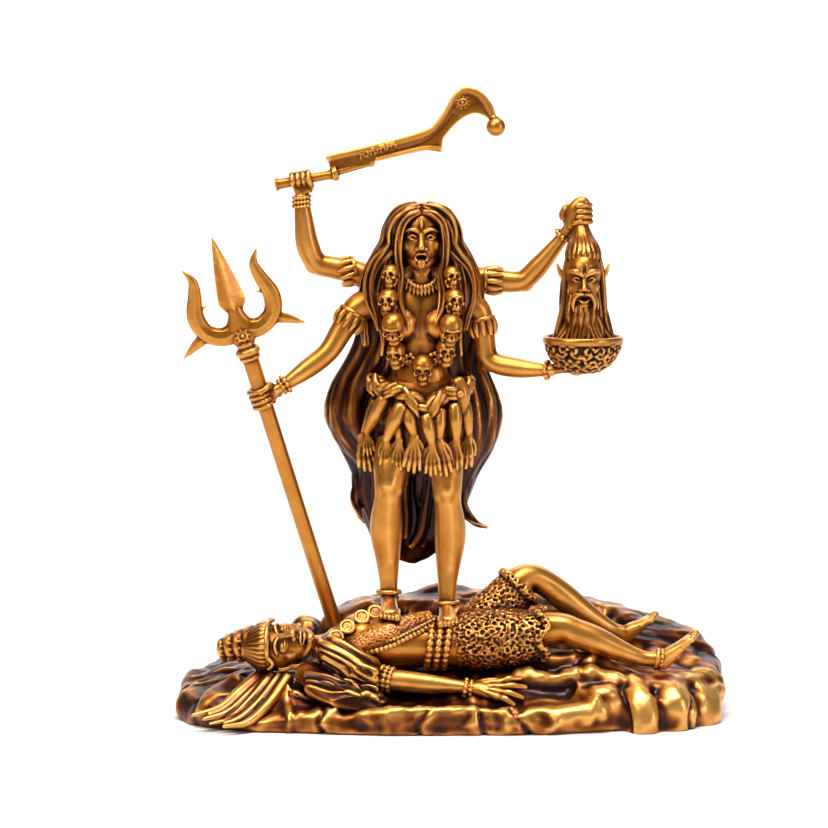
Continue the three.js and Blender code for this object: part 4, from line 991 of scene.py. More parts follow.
# The lying figure, head at -X, in mm from under the hips
clay = bmesh.new()
upright = (0, 0, 1)
limb(clay, [(-49, -1, 8.4, 3.8), (-44, -0.6, 8.4, 6, 4.6), (-40, -0.6, 8.8, 10, 6.8),
            (-32, 0, 9.5, 12.4, 8.8), (-21, 0, 10, 12.4, 9.2), (-10, 0, 9.4, 10.6, 8.4),
            (-2, 0, 9, 10.2, 8.1), (7, 0, 10, 11.6, 9.4), (19, -1.6, 10.6, 11.4, 9),
            (28, -2.5, 11.6, 7, 6.4)], around=32, across=upright, blunt=0.1)
ball(clay, (-31, -4.4, 14), (7, 5, 4), around=20)
ball(clay, (-31, 5.4, 15), (7, 5.6, 4.4), around=20)
limb(clay, [(9, 5, 13, 9), (22, 9, 27, 7), (27.6, 10, 31, 5.2), (33.6, 11, 28.6, 4.7), (40, 11.8, 23.6, 4.9),
            (47, 12.6, 18.2, 4.2), (56, 13.8, 12.4, 2.8), (61, 14, 10.4, 2.9)], around=20, across=(0.2, 1, 0))
limb(clay, [(20, -3, 12.4, 7.6), (30, -3.2, 14.6, 6.6), (38, -3.5, 15.4, 5.4), (43, -3.8, 13.8, 5.1),
            (50, -4, 11.2, 5), (58, -4, 7.8, 3.9), (66, -4, 5, 2.8), (72, -4.2, 4.4, 2.8)], around=20,
     across=(0.2, 1, 0))
ball(clay, (27.6, 7.4, 31.2), (3.4, 2.6, 3.4))
ball(clay, (38.6, -5.6, 16.6), (3.4, 2.6, 3.2))
lyingFeet = [((62, 14, 10.6), (70.6, 13.4, 16.4), (0.5, 0, -0.85)),
             ((74, -4.4, 4.6), (84, -5, 13.2), (0.75, 0, -0.66))]
for heel, tips, flat in lyingFeet:
    heel, tips, sole = Vector(heel), Vector(tips), Vector(flat)
    out = (tips - heel).normalized()
    limb(clay, [(*(heel - out * 1.6 + sole * 0.6), 2.7), (*(heel + out * 2), 2.9),
                (*heel.lerp(tips, 0.5), 3.2, 2.1), (*heel.lerp(tips, 0.78), 3.5, 1.6)], around=16,
         across=tuple(sole))
limb(clay, [(-41, -9, 8.4, 5.4), (-36, -11.6, 6.2, 5.4), (-30, -14.4, 3, 4.6), (-23, -16.8, 0, 3.7),
            (-17, -17.6, -0.6, 3.7), (-8, -18.2, -1.6, 3.5), (1, -18.8, -2.2, 2.6, 2.4),
            (7.4, -19.4, -2.7, 2.4, 2)], around=20, across=upright)
limb(clay, [(-39, 8, 8.5, 6), (-29, 12, 6, 5), (-18, 13, 6, 4)], across=upright)
skin = remeshed(clay, voxels["lyingBody"], 5)
skin.dent((-8.4, -3, 18.4), (1.6, 1.6, 2.4), 1.0)  # navel
skin.line([(-40, 0, 0), (-30, 0, 0), (-22, 0, 0)], 2.4, -0.6, ignore=2, where=skin.points[:, 2] > 12)
finished("lyingBody", skin, "lying", "base", satinGold)

clay = bmesh.new()
openHand(clay, (6.4, -19.4, -2.6), (1, -0.1, -0.09), (0, -0.8, -0.6), 20.5, back=(0, -0.6, 0.8), spread=0.3,
         curl=0.5, wristSize=0.11)
for heel, tips, flat in lyingFeet:
    heel, tips, sole = Vector(heel), Vector(tips), Vector(flat)
    out = (tips - heel).normalized()
    toes(clay, heel.lerp(tips, 0.72), out, (0, 1, 0), sole)
skin = remeshed(clay, voxels["lyingHandAndToes"], 2)
finished("lyingHandAndToes", skin, "lying", "base", satinGold, most=30000)

sleeperLook = {
    **headLook,
    "eye": ((2.6, -5.1, 0.5), (1.75, 1.6, 1.25)),
    "upperLid": [(0.9, -6.2, 0.2, 0.25), (2.6, -6.8, -0.3, 0.3), (4.3, -5.5, 0.1, 0.25)],
    "lowerLid": [(1.3, -6.2, -0.5, 0.2), (2.6, -6.4, -0.95, 0.25), (4, -5.5, -0.5, 0.2)],
    "lips": [[(-2.2, -5.8, -5.5, 0.3), (-0.8, -6.8, -5.1, 0.55), (0, -6.8, -5.3, 0.5),
              (0.8, -6.8, -5.1, 0.55), (2.2, -5.8, -5.5, 0.3)],
             [(-2, -5.8, -5.8, 0.3), (0, -6.7, -6.3, 0.7), (2, -5.8, -5.8, 0.3)]],
    "lines": [([(-2.4, -6.1, -5.7), (0, -7.1, -5.75), (2.4, -6.1, -5.7)], 0.35, -0.25),
              ([(0, -7, -3.9), (0.2, -7, -4.6)], 0.5, -0.15),
              ([(1.0, -6.6, 1.5), (2.6, -7.2, 2), (4.4, -5.8, 1.4)], 0.5, -0.2)],
    "extras": [[(-6.4, -1.6, 5, 0.5), (-4.4, -5.6, 5.4, 0.8), (0, -7.3, 5.6, 0.9), (4.4, -5.6, 5.4, 0.8),
                (6.4, -1.6, 5, 0.5)]]
    + [[(way * a, b, c, r) for a, b, c, r in run] for way in (-1, 1) for run in (
        [(5.7, 0.4, 1.6, 0.6), (6.6, 0.6, 1.2, 0.8), (6.4, 0, -1.4, 0.7), (5.6, -0.4, -2.6, 0.6)],
        [(5.9, -0.2, -2.8, 0.9), (6.1, -0.3, -4.6, 1.1)])],
}
faceTurn = Matrix(((0, 0, -1), (0.62, 0.78, 0), (0.78, -0.62, 0))).to_4x4()
sleeperPlace = Matrix.Translation((-58, -4.4, 9)) @ faceTurn @ Matrix.Diagonal((1.3, 1.14, 1.1, 1))
skin = head(sleeperPlace, sleeperLook, voxels["lyingHead"])
finished("lyingHead", skin, "lying", "base", satinGold)

clay = bmesh.new()
onSleeper = lambda x, y, z: tuple(sleeperPlace @ Vector((x, y, z)))
for i in range(22):  # hair drawn back from the brow and temples to the knot
    a = math.radians(-125 + 250 * i / 21)
    out, deep = math.sin(a), -math.cos(a)
    limb(clay, [(*onSleeper(6.3 * out, 7.4 * deep, 4.2 + 2.2 * max(0, -deep)), 0.8),
                (*onSleeper(6 * out, 6.7 * deep, 7.6), 1.15), (*onSleeper(4 * out, 4.4 * deep, 10.8), 1.0),
                (*onSleeper(2.8 * out, 3 * deep, 13), 0.9)], around=9)
ball(clay, onSleeper(0, 1, 5), (5.4, 5.6, 5.6), around=20)
for spot, radius, thick in (((-69.6, -2.6, 9.6), 4.8, 1.8), ((-73.4, -2.1, 9), 4.1, 1.7),
                            ((-76.8, -1.6, 8.4), 3.4, 1.6), ((-79.6, -1.1, 7.6), 2.5, 1.4)):
    for turn in (-0.25, 0.25):
        hoop(clay, spot, (1, turn, 0.25), radius, thick)
    ball(clay, spot, radius)
    for k in range(14):
        a = math.pi * k / 7
        ball(clay, Vector(spot) + Vector((0, math.cos(a), math.sin(a))) * (radius + thick * 0.8),
             (1.5, 0.5, 0.5), around=8)
loose = [[(-67, -20), (-73, -26), (-80, -33), (-89, -38)], [(-57, -22), (-63, -32), (-70, -39), (-78, -43.6)]]
for k, (share, size) in enumerate(zip((0, 0.12, 0.26, 0.44, 0.56, 0.7, 0.86, 1),
                                      (1.7, 1.3, 1.6, 1.7, 1.2, 1.6, 1.3, 1.7))):
    path = []
    for step, (a, b) in enumerate(zip(*loose)):  # hair that fans out over the rock from under the head
        x, y, z = onRock(a[0] + (b[0] - a[0]) * share, a[1] + (b[1] - a[1]) * share, 0.5 * (k % 2) - 0.1)
        path.append((x, y + 12, z - 17, size * (1.6, 1.55, 1.35, 0.8)[step]))
    reach = (1, 0.84, 0.96, 0.72, 1, 0.86, 0.76, 1)[k]
    run = smoothRun(path, np.linspace(0, reach, 9))
    run[:, 3] *= np.linspace(1, 0.45, 9)
    run[:, 2] -= np.linspace(0, 1.3, 9) ** 2
    limb(clay, [tuple(spot) for spot in run], around=10, rows=2)
for way in (-1, 1):  # the ends of the brow band hang beside the face
    limb(clay, [(*onSleeper(5.4 * way, -4.4, 5.2), 0.8), (*onSleeper(6.8 * way, -3, 3.6), 0.7),
                (*onSleeper(7.6 * way, -1.6, 5), 0.6)], around=9)
skin = remeshed(clay, voxels["lyingHair"], 2)
finished("lyingHair", skin, "lying", "base", lockGold)

clay = bmesh.new()
faceWay = Vector((0, -0.78, 0.62))
for spot in ((-44.2, -12.4, 10), (-40, -11, 13.6), (-36.2, -8.8, 16.8), (-31.2, -5, 19.6),
             (-26.6, -0.6, 20.6)):
    hoop(clay, spot, faceWay, 2.25, 0.7)
    hoop(clay, Vector(spot) + faceWay * 0.2, faceWay, 1.1, 0.35)
    limb(clay, [(*(Vector(spot) - faceWay * 4), 2.2), (*(Vector(spot) - faceWay * 0.8), 2.4)], blunt=0.1)
    ball(clay, Vector(spot) + faceWay * 0.1, 0.6)
sash = [(-39, -11.4, 9.4), (-31.7, -12, 12), (-22.2, -10.6, 14.6), (-14.5, -7, 16.8), (-6.5, -3, 17.6)]
limb(clay, [(x, y * 0.92, z, 1.2, 4.4) for x, y, z in sash], around=24, across=(0, 0.62, 0.78))
border = [(-37, -13.2, 6.4), (-30, -13.6, 8.2), (-22.2, -13, 10.2), (-15.6, -11.2, 13), (-6.3, -6, 17)]
for lift, size in ((0, 0.95), (1.7, 0.75)):
    beads(clay, [(x, y + 0.5 * lift, z + lift) for x, y, z in border], size, 1.6)
beads(clay, [(-40, -8, 14), (-34, -5, 17.4), (-28, 0, 19), (-20, 2, 19.4)], 0.8)
for column in (-6, -3, 0):
    ellipse = [(column + 0.02 * k, 10.9 * math.sin(math.radians(k)), 9.1 + 8.8 * math.cos(math.radians(k)))
               for k in range(-140, 100, 20)]
    beads(clay, ellipse, 1.35, 1.5)
armRing = [(-22.8, -16.8, 0), (1, -0.25, -0.2)]
for step in (-1.7, 0, 1.7):
    beadRing(clay, Vector(armRing[0]) + Vector(armRing[1]) * step, armRing[1], 3.9, 0.9)
beadRing(clay, (4.6, -19, -2.8), (1, -0.06, -0.16), 2.9, 0.9)
beadRing(clay, (6.4, -19.2, -3.1), (1, -0.06, -0.16), 2.7, 0.75)
hoop(clay, (71.4, -4.2, 4.6), (1, 0, -0.2), 3.1, 0.9)
beadRing(clay, (72.8, -4.2, 4.5), (1, 0, -0.2), 3.2, 0.75)
skin = remeshed(clay, voxels["ornaments"], 1)
stipple = np.array([noise.noise(Vector(p) * 1.6) for p in skin.points])
skin.move(-0.35 * np.clip(stipple, 0, 0.5) * skin.nearness(sash, 5.4) ** 0.3)
skin.patinaAndPaintedShade = 0.09 * skin.nearness(sash, 5.4) ** 0.3
finished("ornaments", skin, "lying", "base", satinGold)

clay = bmesh.new()
limb(clay, [(-46, -8.6, 10, 3.4), (-42, -10.8, 8.6, 5.6), (-36, -13.2, 6, 6), (-30, -15.4, 3, 5.3),
            (-25, -16.8, 0.4, 4)], around=30)
limb(clay, [(-50, -12, 2, 5, 2.6), (-43, -17, -1.4, 8.4, 2.8), (-34, -21, -4.6, 8, 2.8),
            (-26, -24, -7.4, 5.4, 2.4)], around=24,
     across=(0.1, -0.5, 0.85))
skin = remeshed(clay, voxels["shawl"], 6)
for k in range(12):  # folds that run from the shoulder to the arm ring, and fan out over the rock
    s = k / 11
    skin.line([(-46 + 2 * s, 0, 15 - 11 * s), (-38 + 1.6 * s, 0, 12.6 - 13 * s),
               (-31 + 1.2 * s, 0, 8.8 - 14 * s), (-24 + 0.6 * s, 0, 5.6 - 13.4 * s)], 1.2 + 0.4 * (k % 2),
              (0.6, -0.4, 0.4, 0.7, -0.3)[k % 5], ignore=1)
    skin.aim()
low = smoothstep(-skin.points[:, 1] - skin.points[:, 2], 12, 17)  # the part that lies on the rock
for k in range(9):
    bow = 1.5 * math.sin(2.3 * k)
    skin.line([(-50, -9 - 1.7 * k, 0), (-42, -12 - 1.7 * k + bow, 0), (-34, -14.6 - 1.5 * k - bow, 0),
               (-26, -18 - k, 0)],
              1.1 + 0.4 * (k % 3), (0.7, -0.5, 0.4, 0.8)[k % 4], ignore=2, where=low)
    skin.aim()
skin.patinaAndPaintedShade += 0.07 + 0.17 * low
finished("shawl", skin, "lying", "base", lockGold)

# the spacing of the kilt's spots, and the radii of the raised thigh and the hips that they are wrapped round
kilt = {"spots": 2.2, "thigh": 8.4, "hips": 10.8}
clay = bmesh.new()
limb(clay, [(1.5, 0, 9.4, 11, 8.8), (7, 0, 10.4, 12.8, 10.4), (14, -0.6, 11, 13.2, 10.9),
            (21, -1.6, 11.4, 12.8, 10.6), (28, -2.4, 12.2, 10.4, 9.2), (31.6, -2.6, 12.6, 9.4, 8.6)],
     around=34, across=upright, blunt=0.05)
limb(clay, [(8, 4, 13, 9.2), (16, 6.6, 20, 8.6), (21, 8.4, 25.4, 7.8), (23.4, 9, 27.8, 7.2)], around=26,
     across=(0.2, 1, 0), blunt=0.1)
hem = [(31.4 + 1.6 * math.sin(5 * a), -2.6 + 9.8 * math.sin(a), 12.6 + 9 * math.cos(a), 1.3)
       for a in np.linspace(0, 2 * math.pi, 41)]
limb(clay, hem, around=9, rows=2)
hoop(clay, (23.6, 9, 28), (0.68, 0.17, 0.72), 7.4, 1.5)
skin = remeshed(clay, voxels["kilt"], 4)
x, y, z = skin.points.T
axis = np.array(Vector((0.69, 0.23, 0.68)).normalized())
side = unit(np.cross(axis, (0, 1, 0)))
raised = skin.points - (6, 3, 11)
sides = raised @ side, raised @ np.cross(axis, side)
onThigh = np.hypot(*sides) / kilt["thigh"] < np.hypot(y + 1, z - 11.5) / 10.6
wander = np.array([noise.noise(Vector(p) * 0.8) for p in skin.points])
along = np.where(onThigh, raised @ axis, x) / kilt["spots"] + 0.3 * wander
around = np.where(onThigh, np.arctan2(*sides) * kilt["thigh"], np.arctan2(z - 11.5, y + 1) * kilt["hips"])
around /= kilt["spots"]
near = np.full(len(x), 9.0)
for i in (-1, 0, 1):  # distance to the nearest spot of a jittered grid wrapped round the thighs
    for j in (-1, 0, 1):
        row, column = np.floor(along) + i, np.floor(around) + j
        aside = row + 0.5 + 0.3 * np.sin(7.1 * row + 3.3 * column)
        ahead = column + 0.5 + 0.3 * np.sin(5.3 * column + 9.7 * row + 1)
        near = np.minimum(near, np.hypot(along - aside, around - ahead))
near *= 1 + 0.8 * wander
skin.move(0.3 * np.exp(-((near - 0.46) / 0.14) ** 2) - 0.6 * (1 - smoothstep(near, 0.12, 0.36)))
skin.patinaAndPaintedShade = 0.08 + 0.1 * wander
finished("kilt", skin, "lying", "base", lockGold)

# The rock
clay = bmesh.new()
spots = 240
edge = rockOutline(np.linspace(0, 2 * np.pi, spots, endpoint=False))
rows = [(0.6, 0), (0.985, 0), (0.99, 0.25), (1, 0.5), (0.99, 0.75), (0.97, 0.94), (0.94, 1), (0.88, 1),
        (0.8, 1), (0.72, 1), (0.64, 1), (0.56, 1), (0.48, 1), (0.4, 1), (0.3, 1), (0.2, 1), (0.1, 1)]
for v in bmesh.ops.create_uvsphere(clay, u_segments=spots, v_segments=len(rows) + 1, radius=1)["verts"]:
    k = len(rows) - round(math.acos(max(-1, min(1, v.co.z))) / math.pi * (len(rows) + 1))
    i = round(math.atan2(v.co.y, v.co.x) / (2 * math.pi) * spots) % spots
    share, up = (0, 1) if k == len(rows) else (0, 0) if k < 0 else rows[k]
    x, y = edge[i] * share
    v.co = (x * rockLook["length"] / 2, y * rockLook["depth"] / 2, up * float(rockHeight(x, y)))
forms = [
    # the left end, and the cloth that runs from the shoulder to the front edge
    [(-88, 8, 4, 8), (-89, -8, 4, 8), (-85, -22, 2.6, 7)], [(-82, -4, 8, 6), (-76, -14, 9, 6)],
    # the front edge: a rounded brim, a split stone and slabs
    [(-36, -41, 6.4, 2.2), (-20, -42, 7.2, 2.4), (-6, -42, 7.2, 2.4), (8, -41.4, 7.6, 2.6),
     (20, -41, 7.4, 2.4)],
    [(-2.6, -41, 0, 1.5), (-0.6, -42.6, 6.4, 1.7), (3.4, -42.8, 8.4, 1.8), (7, -42, 5.4, 1.5),
     (8, -41.6, 0, 1.4)],
    [(30, -38, 2, 5), (38, -38, 5, 5.4), (50, -36, 7, 6)],
    # folds from under the near leg down to the right end
    [(16, -13, 13, 6), (30, -14.4, 18, 6.8), (42, -15, 18.6, 7), (54, -15, 15.4, 6.4), (68, -15, 11.4, 5.4)],
    [(14, -19, 14, 3.4), (24, -23, 15.4, 4), (34, -25, 15, 4), (44, -24, 15.6, 4.6), (56, -24.6, 14.6, 5),
     (63, -29, 12, 4.4)],
    [(43, -30, 10.6, 5), (54, -31.4, 11, 5.4)],
    [(60, -22, 13, 5), (63.6, -31, 10.6, 5.6), (65, -35.4, 6, 6), (65.4, -36, 0, 5.8)],
    [(75, -28.6, 0, 8.4), (76, -27.6, 6, 9), (75, -23, 10, 7.4)],
    [(85, -20, 0, 7.4), (86, -19, 5, 7.8), (86, -13, 8, 7.4)],
    [(90, 10, 8, 6.4), (91, -2, 9.6, 6), (90, -10, 8, 6)],
    # the bank behind the legs
    [(-10, 26, 35.4, 5), (-3, 27, 37.4, 5), (4, 28, 35.4, 5)],
    [(-90, 12, 5, 6), (-78, 15, 9, 7), (-62, 18, 14, 8), (-50, 22, 24, 8)],
    [(48, 12, 24, 8), (62, 9, 20, 8), (76, 6, 17, 7), (88, 0, 12, 6)],
]
for path in forms:
    limb(clay, path, around=18)
for x, tall, lean in ((-6, 8.4, 5), (22, 7, 4), (36, 8, -4)):  # stones split off the front
    limb(clay, [(x - 5, -39.8, 0, 3), (x, -41.4, tall * 0.6, 3.4), (x + lean, -40, tall, 0.8)], around=4)
skin = remeshed(clay, voxels["rock"], 5)
points = skin.points
middle = np.clip(points[:, 0], -50, 50)
outward = points[:, 0] - middle
swing = np.arctan2(np.abs(outward), -points[:, 1]) * np.where(points[:, 0] < 0, -1, 1)
around = middle + 45 * swing  # along the edge, so that the folds run down and outward
down = 0.6 * np.hypot(outward, points[:, 1]) - points[:, 2]
rise = np.zeros(len(points))
for i, (p, u, v) in enumerate(zip(points, around, down)):
    bend = noise.noise(Vector(p) / 24)
    fold = 1 - 3 * abs(noise.noise(Vector((u / 9 + 1.4 * bend, v / 30, 0.3 * bend))))
    pleat = 1 - 3 * abs(noise.noise(Vector((u / 4.2 + 2 * bend, v / 15, 7))))
    block = Vector(p / rockLook["blocks"]) + 0.35 * noise.noise_vector(Vector(p) / 9)
    reach, cells = noise.voronoi(block)  # split stone: tilted faces with cracks between them
    slope = noise.cell_vector(cells[0] * 9) - Vector((0.5, 0.5, 0.5))
    rise[i] = (0.8 * max(fold, 0) ** 1.5 + 0.5 * max(pleat, 0) ** 1.5 * smoothstep(bend, 0, 0.2) - 0.4
               + 2.2 * slope.dot(block - cells[0]) - 0.45 * max(0, 1 - (reach[1] - reach[0]) / 0.1))
lump = np.array([noise.noise(Vector(p) / 12) + 0.4 * noise.noise(Vector(p) / 5) for p in points])
seam = 1 - np.exp(-((points[:, 0] / 5) ** 2)) * (points[:, 1] > 0)
skin.move((rise * seam + lump) * smoothstep(points[:, 2], 0.3, 2.5))
skin = remeshed(reopened(skin), voxels["rock"], 4)
points = skin.points
patchy = np.array([noise.noise(Vector(p) / 17) for p in points])
# browner towards the back, in random patches and at the left end, and lighter at the right front
skin.patinaAndPaintedShade = 0.02 + 0.2 * smoothstep(points[:, 1], -8, 8) + 0.2 * patchy
lighterRightFront = smoothstep(points[:, 0], 25, 42) * (points[:, 1] < -8)
skin.patinaAndPaintedShade += 0.19 * smoothstep(-points[:, 0], 46, 62) - 0.14 * lighterRightFront
# painted shade on the rock along the front, under the lying god's arm and shawl
skin.patinaAndPaintedShade += 0.2 * np.exp(-(((points[:, 0] + 22) / 18) ** 2)) * smoothstep(-points[:, 1], 22, 34)
skin.aim()
skin.dent((38, -31, 14.5), (15, 5.5, 5.5), 1.6)
skin.aim()
top = skin.normals[:, 2] > 0.15
# creases of the cloth spread on the rock, then the cracks down its front
for run in ([(-62, -24), (-52, -29), (-42, -34), (-34, -38)],
            [(-58, -20), (-46, -26), (-34, -32), (-24, -37)], [(-52, -18), (-42, -22), (-32, -27)],
            [(-56, -22), (-57, -30), (-56, -38)], [(-46, -19), (-38, -30), (-40, -39)],
            [(-94, -6), (-84, -12), (-74, -20)], [(-92, 4), (-80, -2), (-70, -10)]):
    skin.line([(x, y, 0) for x, y in run], 1.7, 1.2, ignore=2, where=top)
skin.aim()
front = skin.normals[:, 1] < -0.2
skin.line([(-54.6, 0, 12), (-55.4, 0, 6), (-56, 0, 0)], 1.3, 0.8, ignore=1, where=front)
for run in ([(20, 9), (23, 5), (26.5, 0)], [(58, 14), (60, 8), (61, 0)], [(-8, 9), (-12, 4), (-11, 0)],
            [(-44, 8), (-46, 4), (-44, 0)], [(9.4, 8), (10, 4), (11, 0)], [(83, 10), (81.6, 5), (82, 0)]):
    skin.line([(x, 0, z) for x, z in run], 1.6, -1.0, ignore=1, where=front)
skin.points[:, 2] = np.maximum(skin.points[:, 2], 0)
skin.aim()
for side, limit in ((0, rockLook["length"] / 2), (1, rockLook["depth"] / 2)):
    skin.points[:, side] = np.clip(skin.points[:, side], -limit, limit)
finished("rock", skin, "rock", "base", rockPaint, relief=0.6, most=110000)

# The trident, in mm along its own Z from its foot, and the sword, in mm along its own X from its guard
trident = {"shaft": 111, "radius": 2.7, "sunk": 5, "foot": (-39.2, 8)}
foot = Vector((*trident["foot"], 0))
foot.z = float(rockHeight(foot.x * 2 / rockLook["length"], foot.y * 2 / rockLook["depth"])) - trident["sunk"]
shaftWay = (Vector(places["standing"]) + Vector(grips["trident"]["centre"]) - foot).normalized()
prongWay = Vector((0, 1, 0)).cross(shaftWay).normalized()
leaning = Matrix((prongWay, shaftWay.cross(prongWay), shaftWay)).transposed().to_4x4()
tridentPlace = Matrix.Translation(foot) @ leaning


def tridentShape(clay):
    up = lambda run: [(x, 0, trident["shaft"] + z, *sizes) for x, z, *sizes in run]
    r, top = trident["radius"], trident["shaft"]
    limb(clay, [(0, 0, 0, r), (0, 0, 60, r), (0, 0, top, 1.08 * r)], around=24, blunt=0, rows=12)
    limb(clay, up([(0, -2.6, 2.4), (0, -1, 3.4), (0, 2.6, 3.2), (0, 6, 3.4, 2.6), (0, 12, 2.8, 2.4),
                   (0, 16, 2.5, 2)]), around=18)
    for z, size, thick in ((-1.6, 2.7, 1.1), (0.6, 3.0, 1.45), (3.4, 2.4, 1.0)):
        hoop(clay, (0, 0, top + z), (0, 0, 1), size, thick)
    limb(clay, up([(0, 12.6, 2.6, 2), (0, 15.6, 3, 2.1), (0, 17.8, 4.4, 2.4), (0, 19.8, 4.9, 2.6),
                   (0, 25.2, 4.1, 2.4), (0, 32, 2.8, 1.9), (0, 38.4, 1.4, 1.1), (0, 42.6, 0.35)]), around=4,
         blunt=0.3)
    limb(clay, up([(0, 3, 2.9, 2.5), (0, 6, 5.4, 2.7), (0, 9.2, 6.2, 2.7), (0, 12, 4.2, 2.5),
                   (0, 14.4, 3, 2.3), (0, 16.4, 2.6, 2)]),
         around=20)
    for way in (-1, 1):
        flip = lambda run: up([(way * x, *rest) for x, *rest in run])
        limb(clay, flip([(0, 9, 4, 2.6), (6.6, 7.9, 3.5, 2.5), (12, 11.2, 3.2, 2.2), (13.7, 17.6, 3.1, 2),
                         (11.7, 25, 2.4, 1.6), (11, 30, 1.6, 1.2), (13.4, 34.6, 0.3)]), around=8)
        limb(clay, flip([(12, 9.8, 2.4, 1.4), (15.8, 8.2, 2.1, 1), (19, 6.3, 1.3, 0.7), (21.8, 4.6, 0.3)]),
             around=6)
        limb(clay, flip([(13.4, 20.6, 1.1), (11, 19.6, 0.6), (8.6, 20.2, 0.25)]), around=8)
    spot = Vector((0, -2.7, top + 7))
    hoop(clay, spot, (0, -1, 0.1), 1.5, 0.5)
    ball(clay, spot, 0.75)
    for k in range(8):
        a = math.pi * k / 4
        ball(clay, spot + Vector((2.2 * math.cos(a), 0.2, 2.2 * math.sin(a))), 0.5, around=8)


clay = bmesh.new()
placed(clay, tridentPlace, tridentShape)
skin = remeshed(clay, voxels["trident"], 2)
finished("tridentGold", skin, "rock", "trident", satinGold)

sword = {"length": 61, "thick": 1.9, "grip": 21, "gripRadius": 1.7, "ball": 3.35, "tilt": 10.3, "strokes": 11}
inFist = Matrix.Translation(Vector(places["standing"]) + Vector(grips["sword"]["centre"]))
tilted = Matrix.Rotation(math.radians(-sword["tilt"]), 4, "Y")
swordPlace = inFist @ tilted @ Matrix.Translation((0.58 * sword["grip"], 0, 0))
fullSize = sword["length"] / 60


def bent(a, b, c, count=8):
    return [tuple((1 - t) ** 2 * p + 2 * t * (1 - t) * q + t * t * r for p, q, r in zip(a, b, c))
            for t in np.linspace(0, 1, count + 1)[1:]]


def bladeOutline():
    line = [(-1.4, 1.2), (31, 2.4)] + bent((31, 2.4), (34.5, 2), (36.8, 0.5)) + [(38.4, 5.2)]
    line += bent((38.4, 5.2), (45, 11.6), (50, 11.8))
    line += bent((50, 11.8), (53.4, 11.4), (55.4, 8)) + [(57.6, 8.4)]
    line += smoothRun([(57.6, 8.4), (57, 13.4), (54, 18.6), (49.2, 21.3), (44.6, 19.6), (41, 14.6),
                       (35.3, 9.9)],
                      np.linspace(0, 1, 25))[1:].tolist()
    return [(x * fullSize, z * fullSize) for x, z in line + bent((35.3, 9.9), (30, 8), (-1.9, 6.7))]


def swordShape(clay):
    half, grip, r = sword["thick"] / 2, sword["grip"], sword["gripRadius"]
    edge = clay.faces.new([clay.verts.new((x, -half, z)) for x, z in bladeOutline()])
    back = bmesh.ops.extrude_face_region(clay, geom=[edge])["geom"]
    bmesh.ops.translate(clay, verts=[v for v in back if isinstance(v, bmesh.types.BMVert)],
                        vec=(0, 2 * half, 0))
    bmesh.ops.recalc_face_normals(clay, faces=clay.faces)
    limb(clay, [(-grip, 0, 0, r * 1.5), (-0.93 * grip, 0, 0, r * 1.15), (-0.5 * grip, 0, 0, r),
                (-0.1 * grip, 0, 0, r), (-0.04 * grip, 0, 0, r * 1.5), (0.6, 0, 0.2, r * 1.5)], around=18,
         blunt=0.2)
    limb(clay, [(0, 0, 0.4, 1.35), (6, 0, 0.9, 1.2), (12.4 * fullSize, 0, 1.3, 0.95)], around=14)
    ball(clay, (12.8 * fullSize, 0, 1.3), 1.25)
    point = Vector((56.8 * fullSize, 0, 8.6 * fullSize - 0.8 * sword["ball"]))
    ball(clay, point, sword["ball"], around=28)
    hoop(clay, point + Vector((0, 0, sword["ball"] * 0.96)), (0.1, 0, 1), 1, 0.5)
    eye = Vector((47 * fullSize, -half, 16.2 * fullSize))
    hoop(clay, eye, (0, 1, 0), 1.5, 0.4, squash=0.7)
    ball(clay, eye, (0.65, 0.5, 0.65))
    for k in range(10):
        a = math.pi * k / 5
        ball(clay, eye + Vector((2.3 * math.cos(a), 0.1, 1.9 * math.sin(a))), 0.38, around=8)
    for k in range(sword["strokes"]):  # a row of strokes where the blade carries an inscription
        x = 9.8 + 1.22 * k
        z, tall, lean = 4.5 + 0.2 * k, (0.9, 0.6, 1.0, 0.7)[k % 4], (0.1, -0.3, 0.2)[k % 3]
        limb(clay, [(x - lean, -half, z - tall, 0.26), (x + lean, -half, z + tall, 0.26)], around=8)
        ball(clay, (x + 0.5, -half, z + (0.5, -0.4, 0.1)[k % 3]), 0.3, around=8)


clay = bmesh.new()
placed(clay, swordPlace, swordShape)
skin = remeshed(clay, voxels["sword"], 2)
onSword = lambda run: [tuple(swordPlace @ Vector((x * fullSize, 0, z * fullSize))) for x, z in run]
spine = [(-1.5, 5.6), (12, 6.2), (24, 7), (33, 8), (38, 11), (42.4, 16), (48, 20), (53.4, 17.4), (56.4, 10)]
fuller = [(22, 4.2), (28, 4.6), (33, 5.6), (38.4, 8.6), (43, 12.6)]
skin.line(onSword(spine), 1.2, 0.45, ignore=1, power=0.7)
skin.line(onSword(fuller), 2.2, -0.3, ignore=1)
skin.line(onSword([(15, 2.4), (31, 3.2), (36.8, 2.2)]), 0.8, 0.35, ignore=1, power=0.7)
finished("swordGold", skin, "rock", "sword", satinGold)


# Stage, light and camera
stage = {"paper": "#f2f1ef", "sky": (0.9, 0.92, 1, 1), "glow": 0.12, "near": -2.6, "far": 1.7, "bend": 0.6,
         "tall": 3.0, "wide": 4.0}
sweep = bmesh.new()
profile = [(stage["near"], 0), (stage["far"], 0)]
profile += [(stage["far"] + stage["bend"] * math.sin(a), stage["bend"] * (1 - math.cos(a)))
            for a in np.linspace(0.1, math.pi / 2, 12)]
profile.append((stage["far"] + stage["bend"], stage["tall"]))
strip = [sweep.verts.new((-stage["wide"], y, z)) for y, z in profile]
lines = [sweep.edges.new(pair) for pair in zip(strip, strip[1:])]
wide = bmesh.ops.extrude_edge_only(sweep, edges=lines)["geom"]
bmesh.ops.translate(sweep, verts=[v for v in wide if isinstance(v, bmesh.types.BMVert)],
                    vec=(2 * stage["wide"], 0, 0))
bmesh.ops.recalc_face_normals(sweep, faces=sweep.faces)
sheet = bpy.data.meshes.new("floor")
sweep.to_mesh(sheet)
sweep.free()
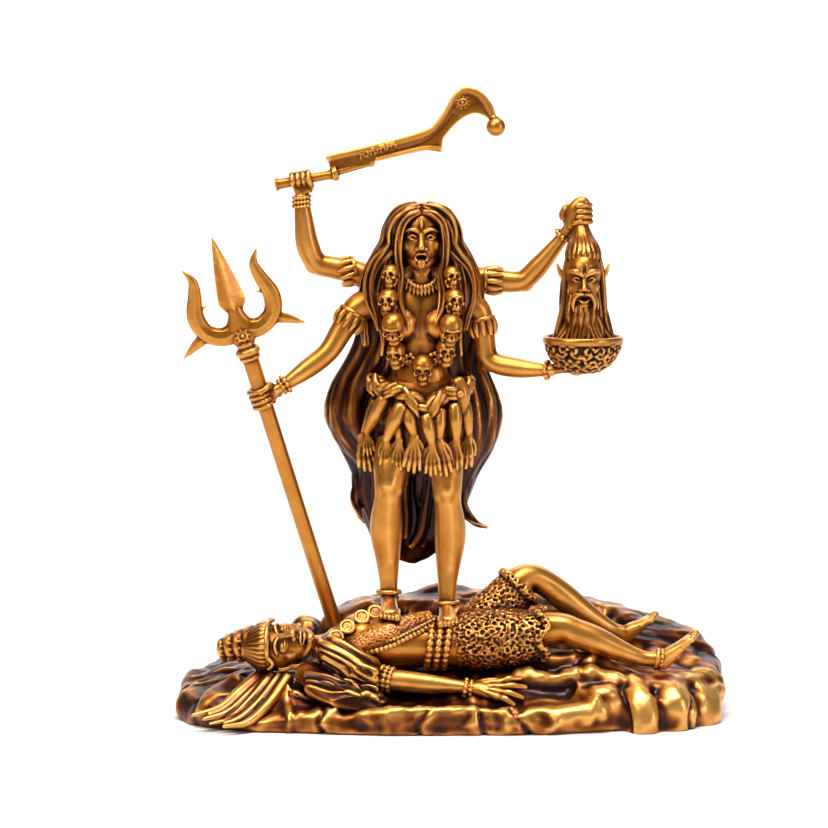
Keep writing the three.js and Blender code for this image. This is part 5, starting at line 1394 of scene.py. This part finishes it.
sheet.polygons.foreach_set("use_smooth", [True] * len(sheet.polygons))
floor = bpy.data.objects.new("floor", sheet)
scene.collection.objects.link(floor)
paper = bpy.data.materials.new("matt white background paper")
paper.use_nodes = True
card = paper.node_tree.nodes["Principled BSDF"]
card.inputs["Base Color"].default_value = linear(stage["paper"])
card.inputs["Roughness"].default_value = 0.9
sheet.materials.append(paper)

world = bpy.data.worlds.new("studio")
scene.world = world
world.use_nodes = True
world.node_tree.nodes["Background"].inputs["Color"].default_value = stage["sky"]
world.node_tree.nodes["Background"].inputs["Strength"].default_value = stage["glow"]

lamps = {
    "key": {"at": (-0.55, -0.6, 0.85), "wide": 0.45, "tall": 0.45, "power": 5.5, "tint": "#fff4e2"},
    "fill": {"at": (0.85, -0.6, 0.35), "wide": 0.2, "tall": 0.6, "power": 3, "tint": "#e8e4ff"},
    "top": {"at": (0.05, -0.2, 0.95), "wide": 0.5, "tall": 0.3, "power": 8.5, "tint": "#ffffff"},
    "wall": {"at": (0, 1.3, 1.5), "wide": 2.4, "tall": 0.4, "power": 42, "tint": "#ffffff",
             "to": (0, 2.2, 0.1)},
}
for name, look in lamps.items():
    light = bpy.data.lights.new(name, "AREA")
    light.shape = "RECTANGLE"
    light.size = look["wide"]
    light.size_y = look["tall"]
    light.energy = look["power"]
    light.color = linear(look["tint"])[:3]
    lamp = bpy.data.objects.new(name, light)
    lamp.location = look["at"]
    aim = Vector(look.get("to", (0, 0, 0.1))) - Vector(look["at"])
    lamp.rotation_euler = aim.to_track_quat("-Z", "Y").to_euler()
    scene.collection.objects.link(lamp)

view = {"lens": 149.07, "sensor": 36, "at": (-0.0131, -1.1934, 0.2311), "down": 6}
lens = bpy.data.cameras.new("camera")
lens.lens = view["lens"]
lens.sensor_width = view["sensor"]
camera = bpy.data.objects.new("camera", lens)
camera.location = view["at"]
camera.rotation_euler = (math.radians(90 - view["down"]), 0, 0)
scene.collection.objects.link(camera)
scene.camera = camera
scene.view_settings.view_transform = "Standard"
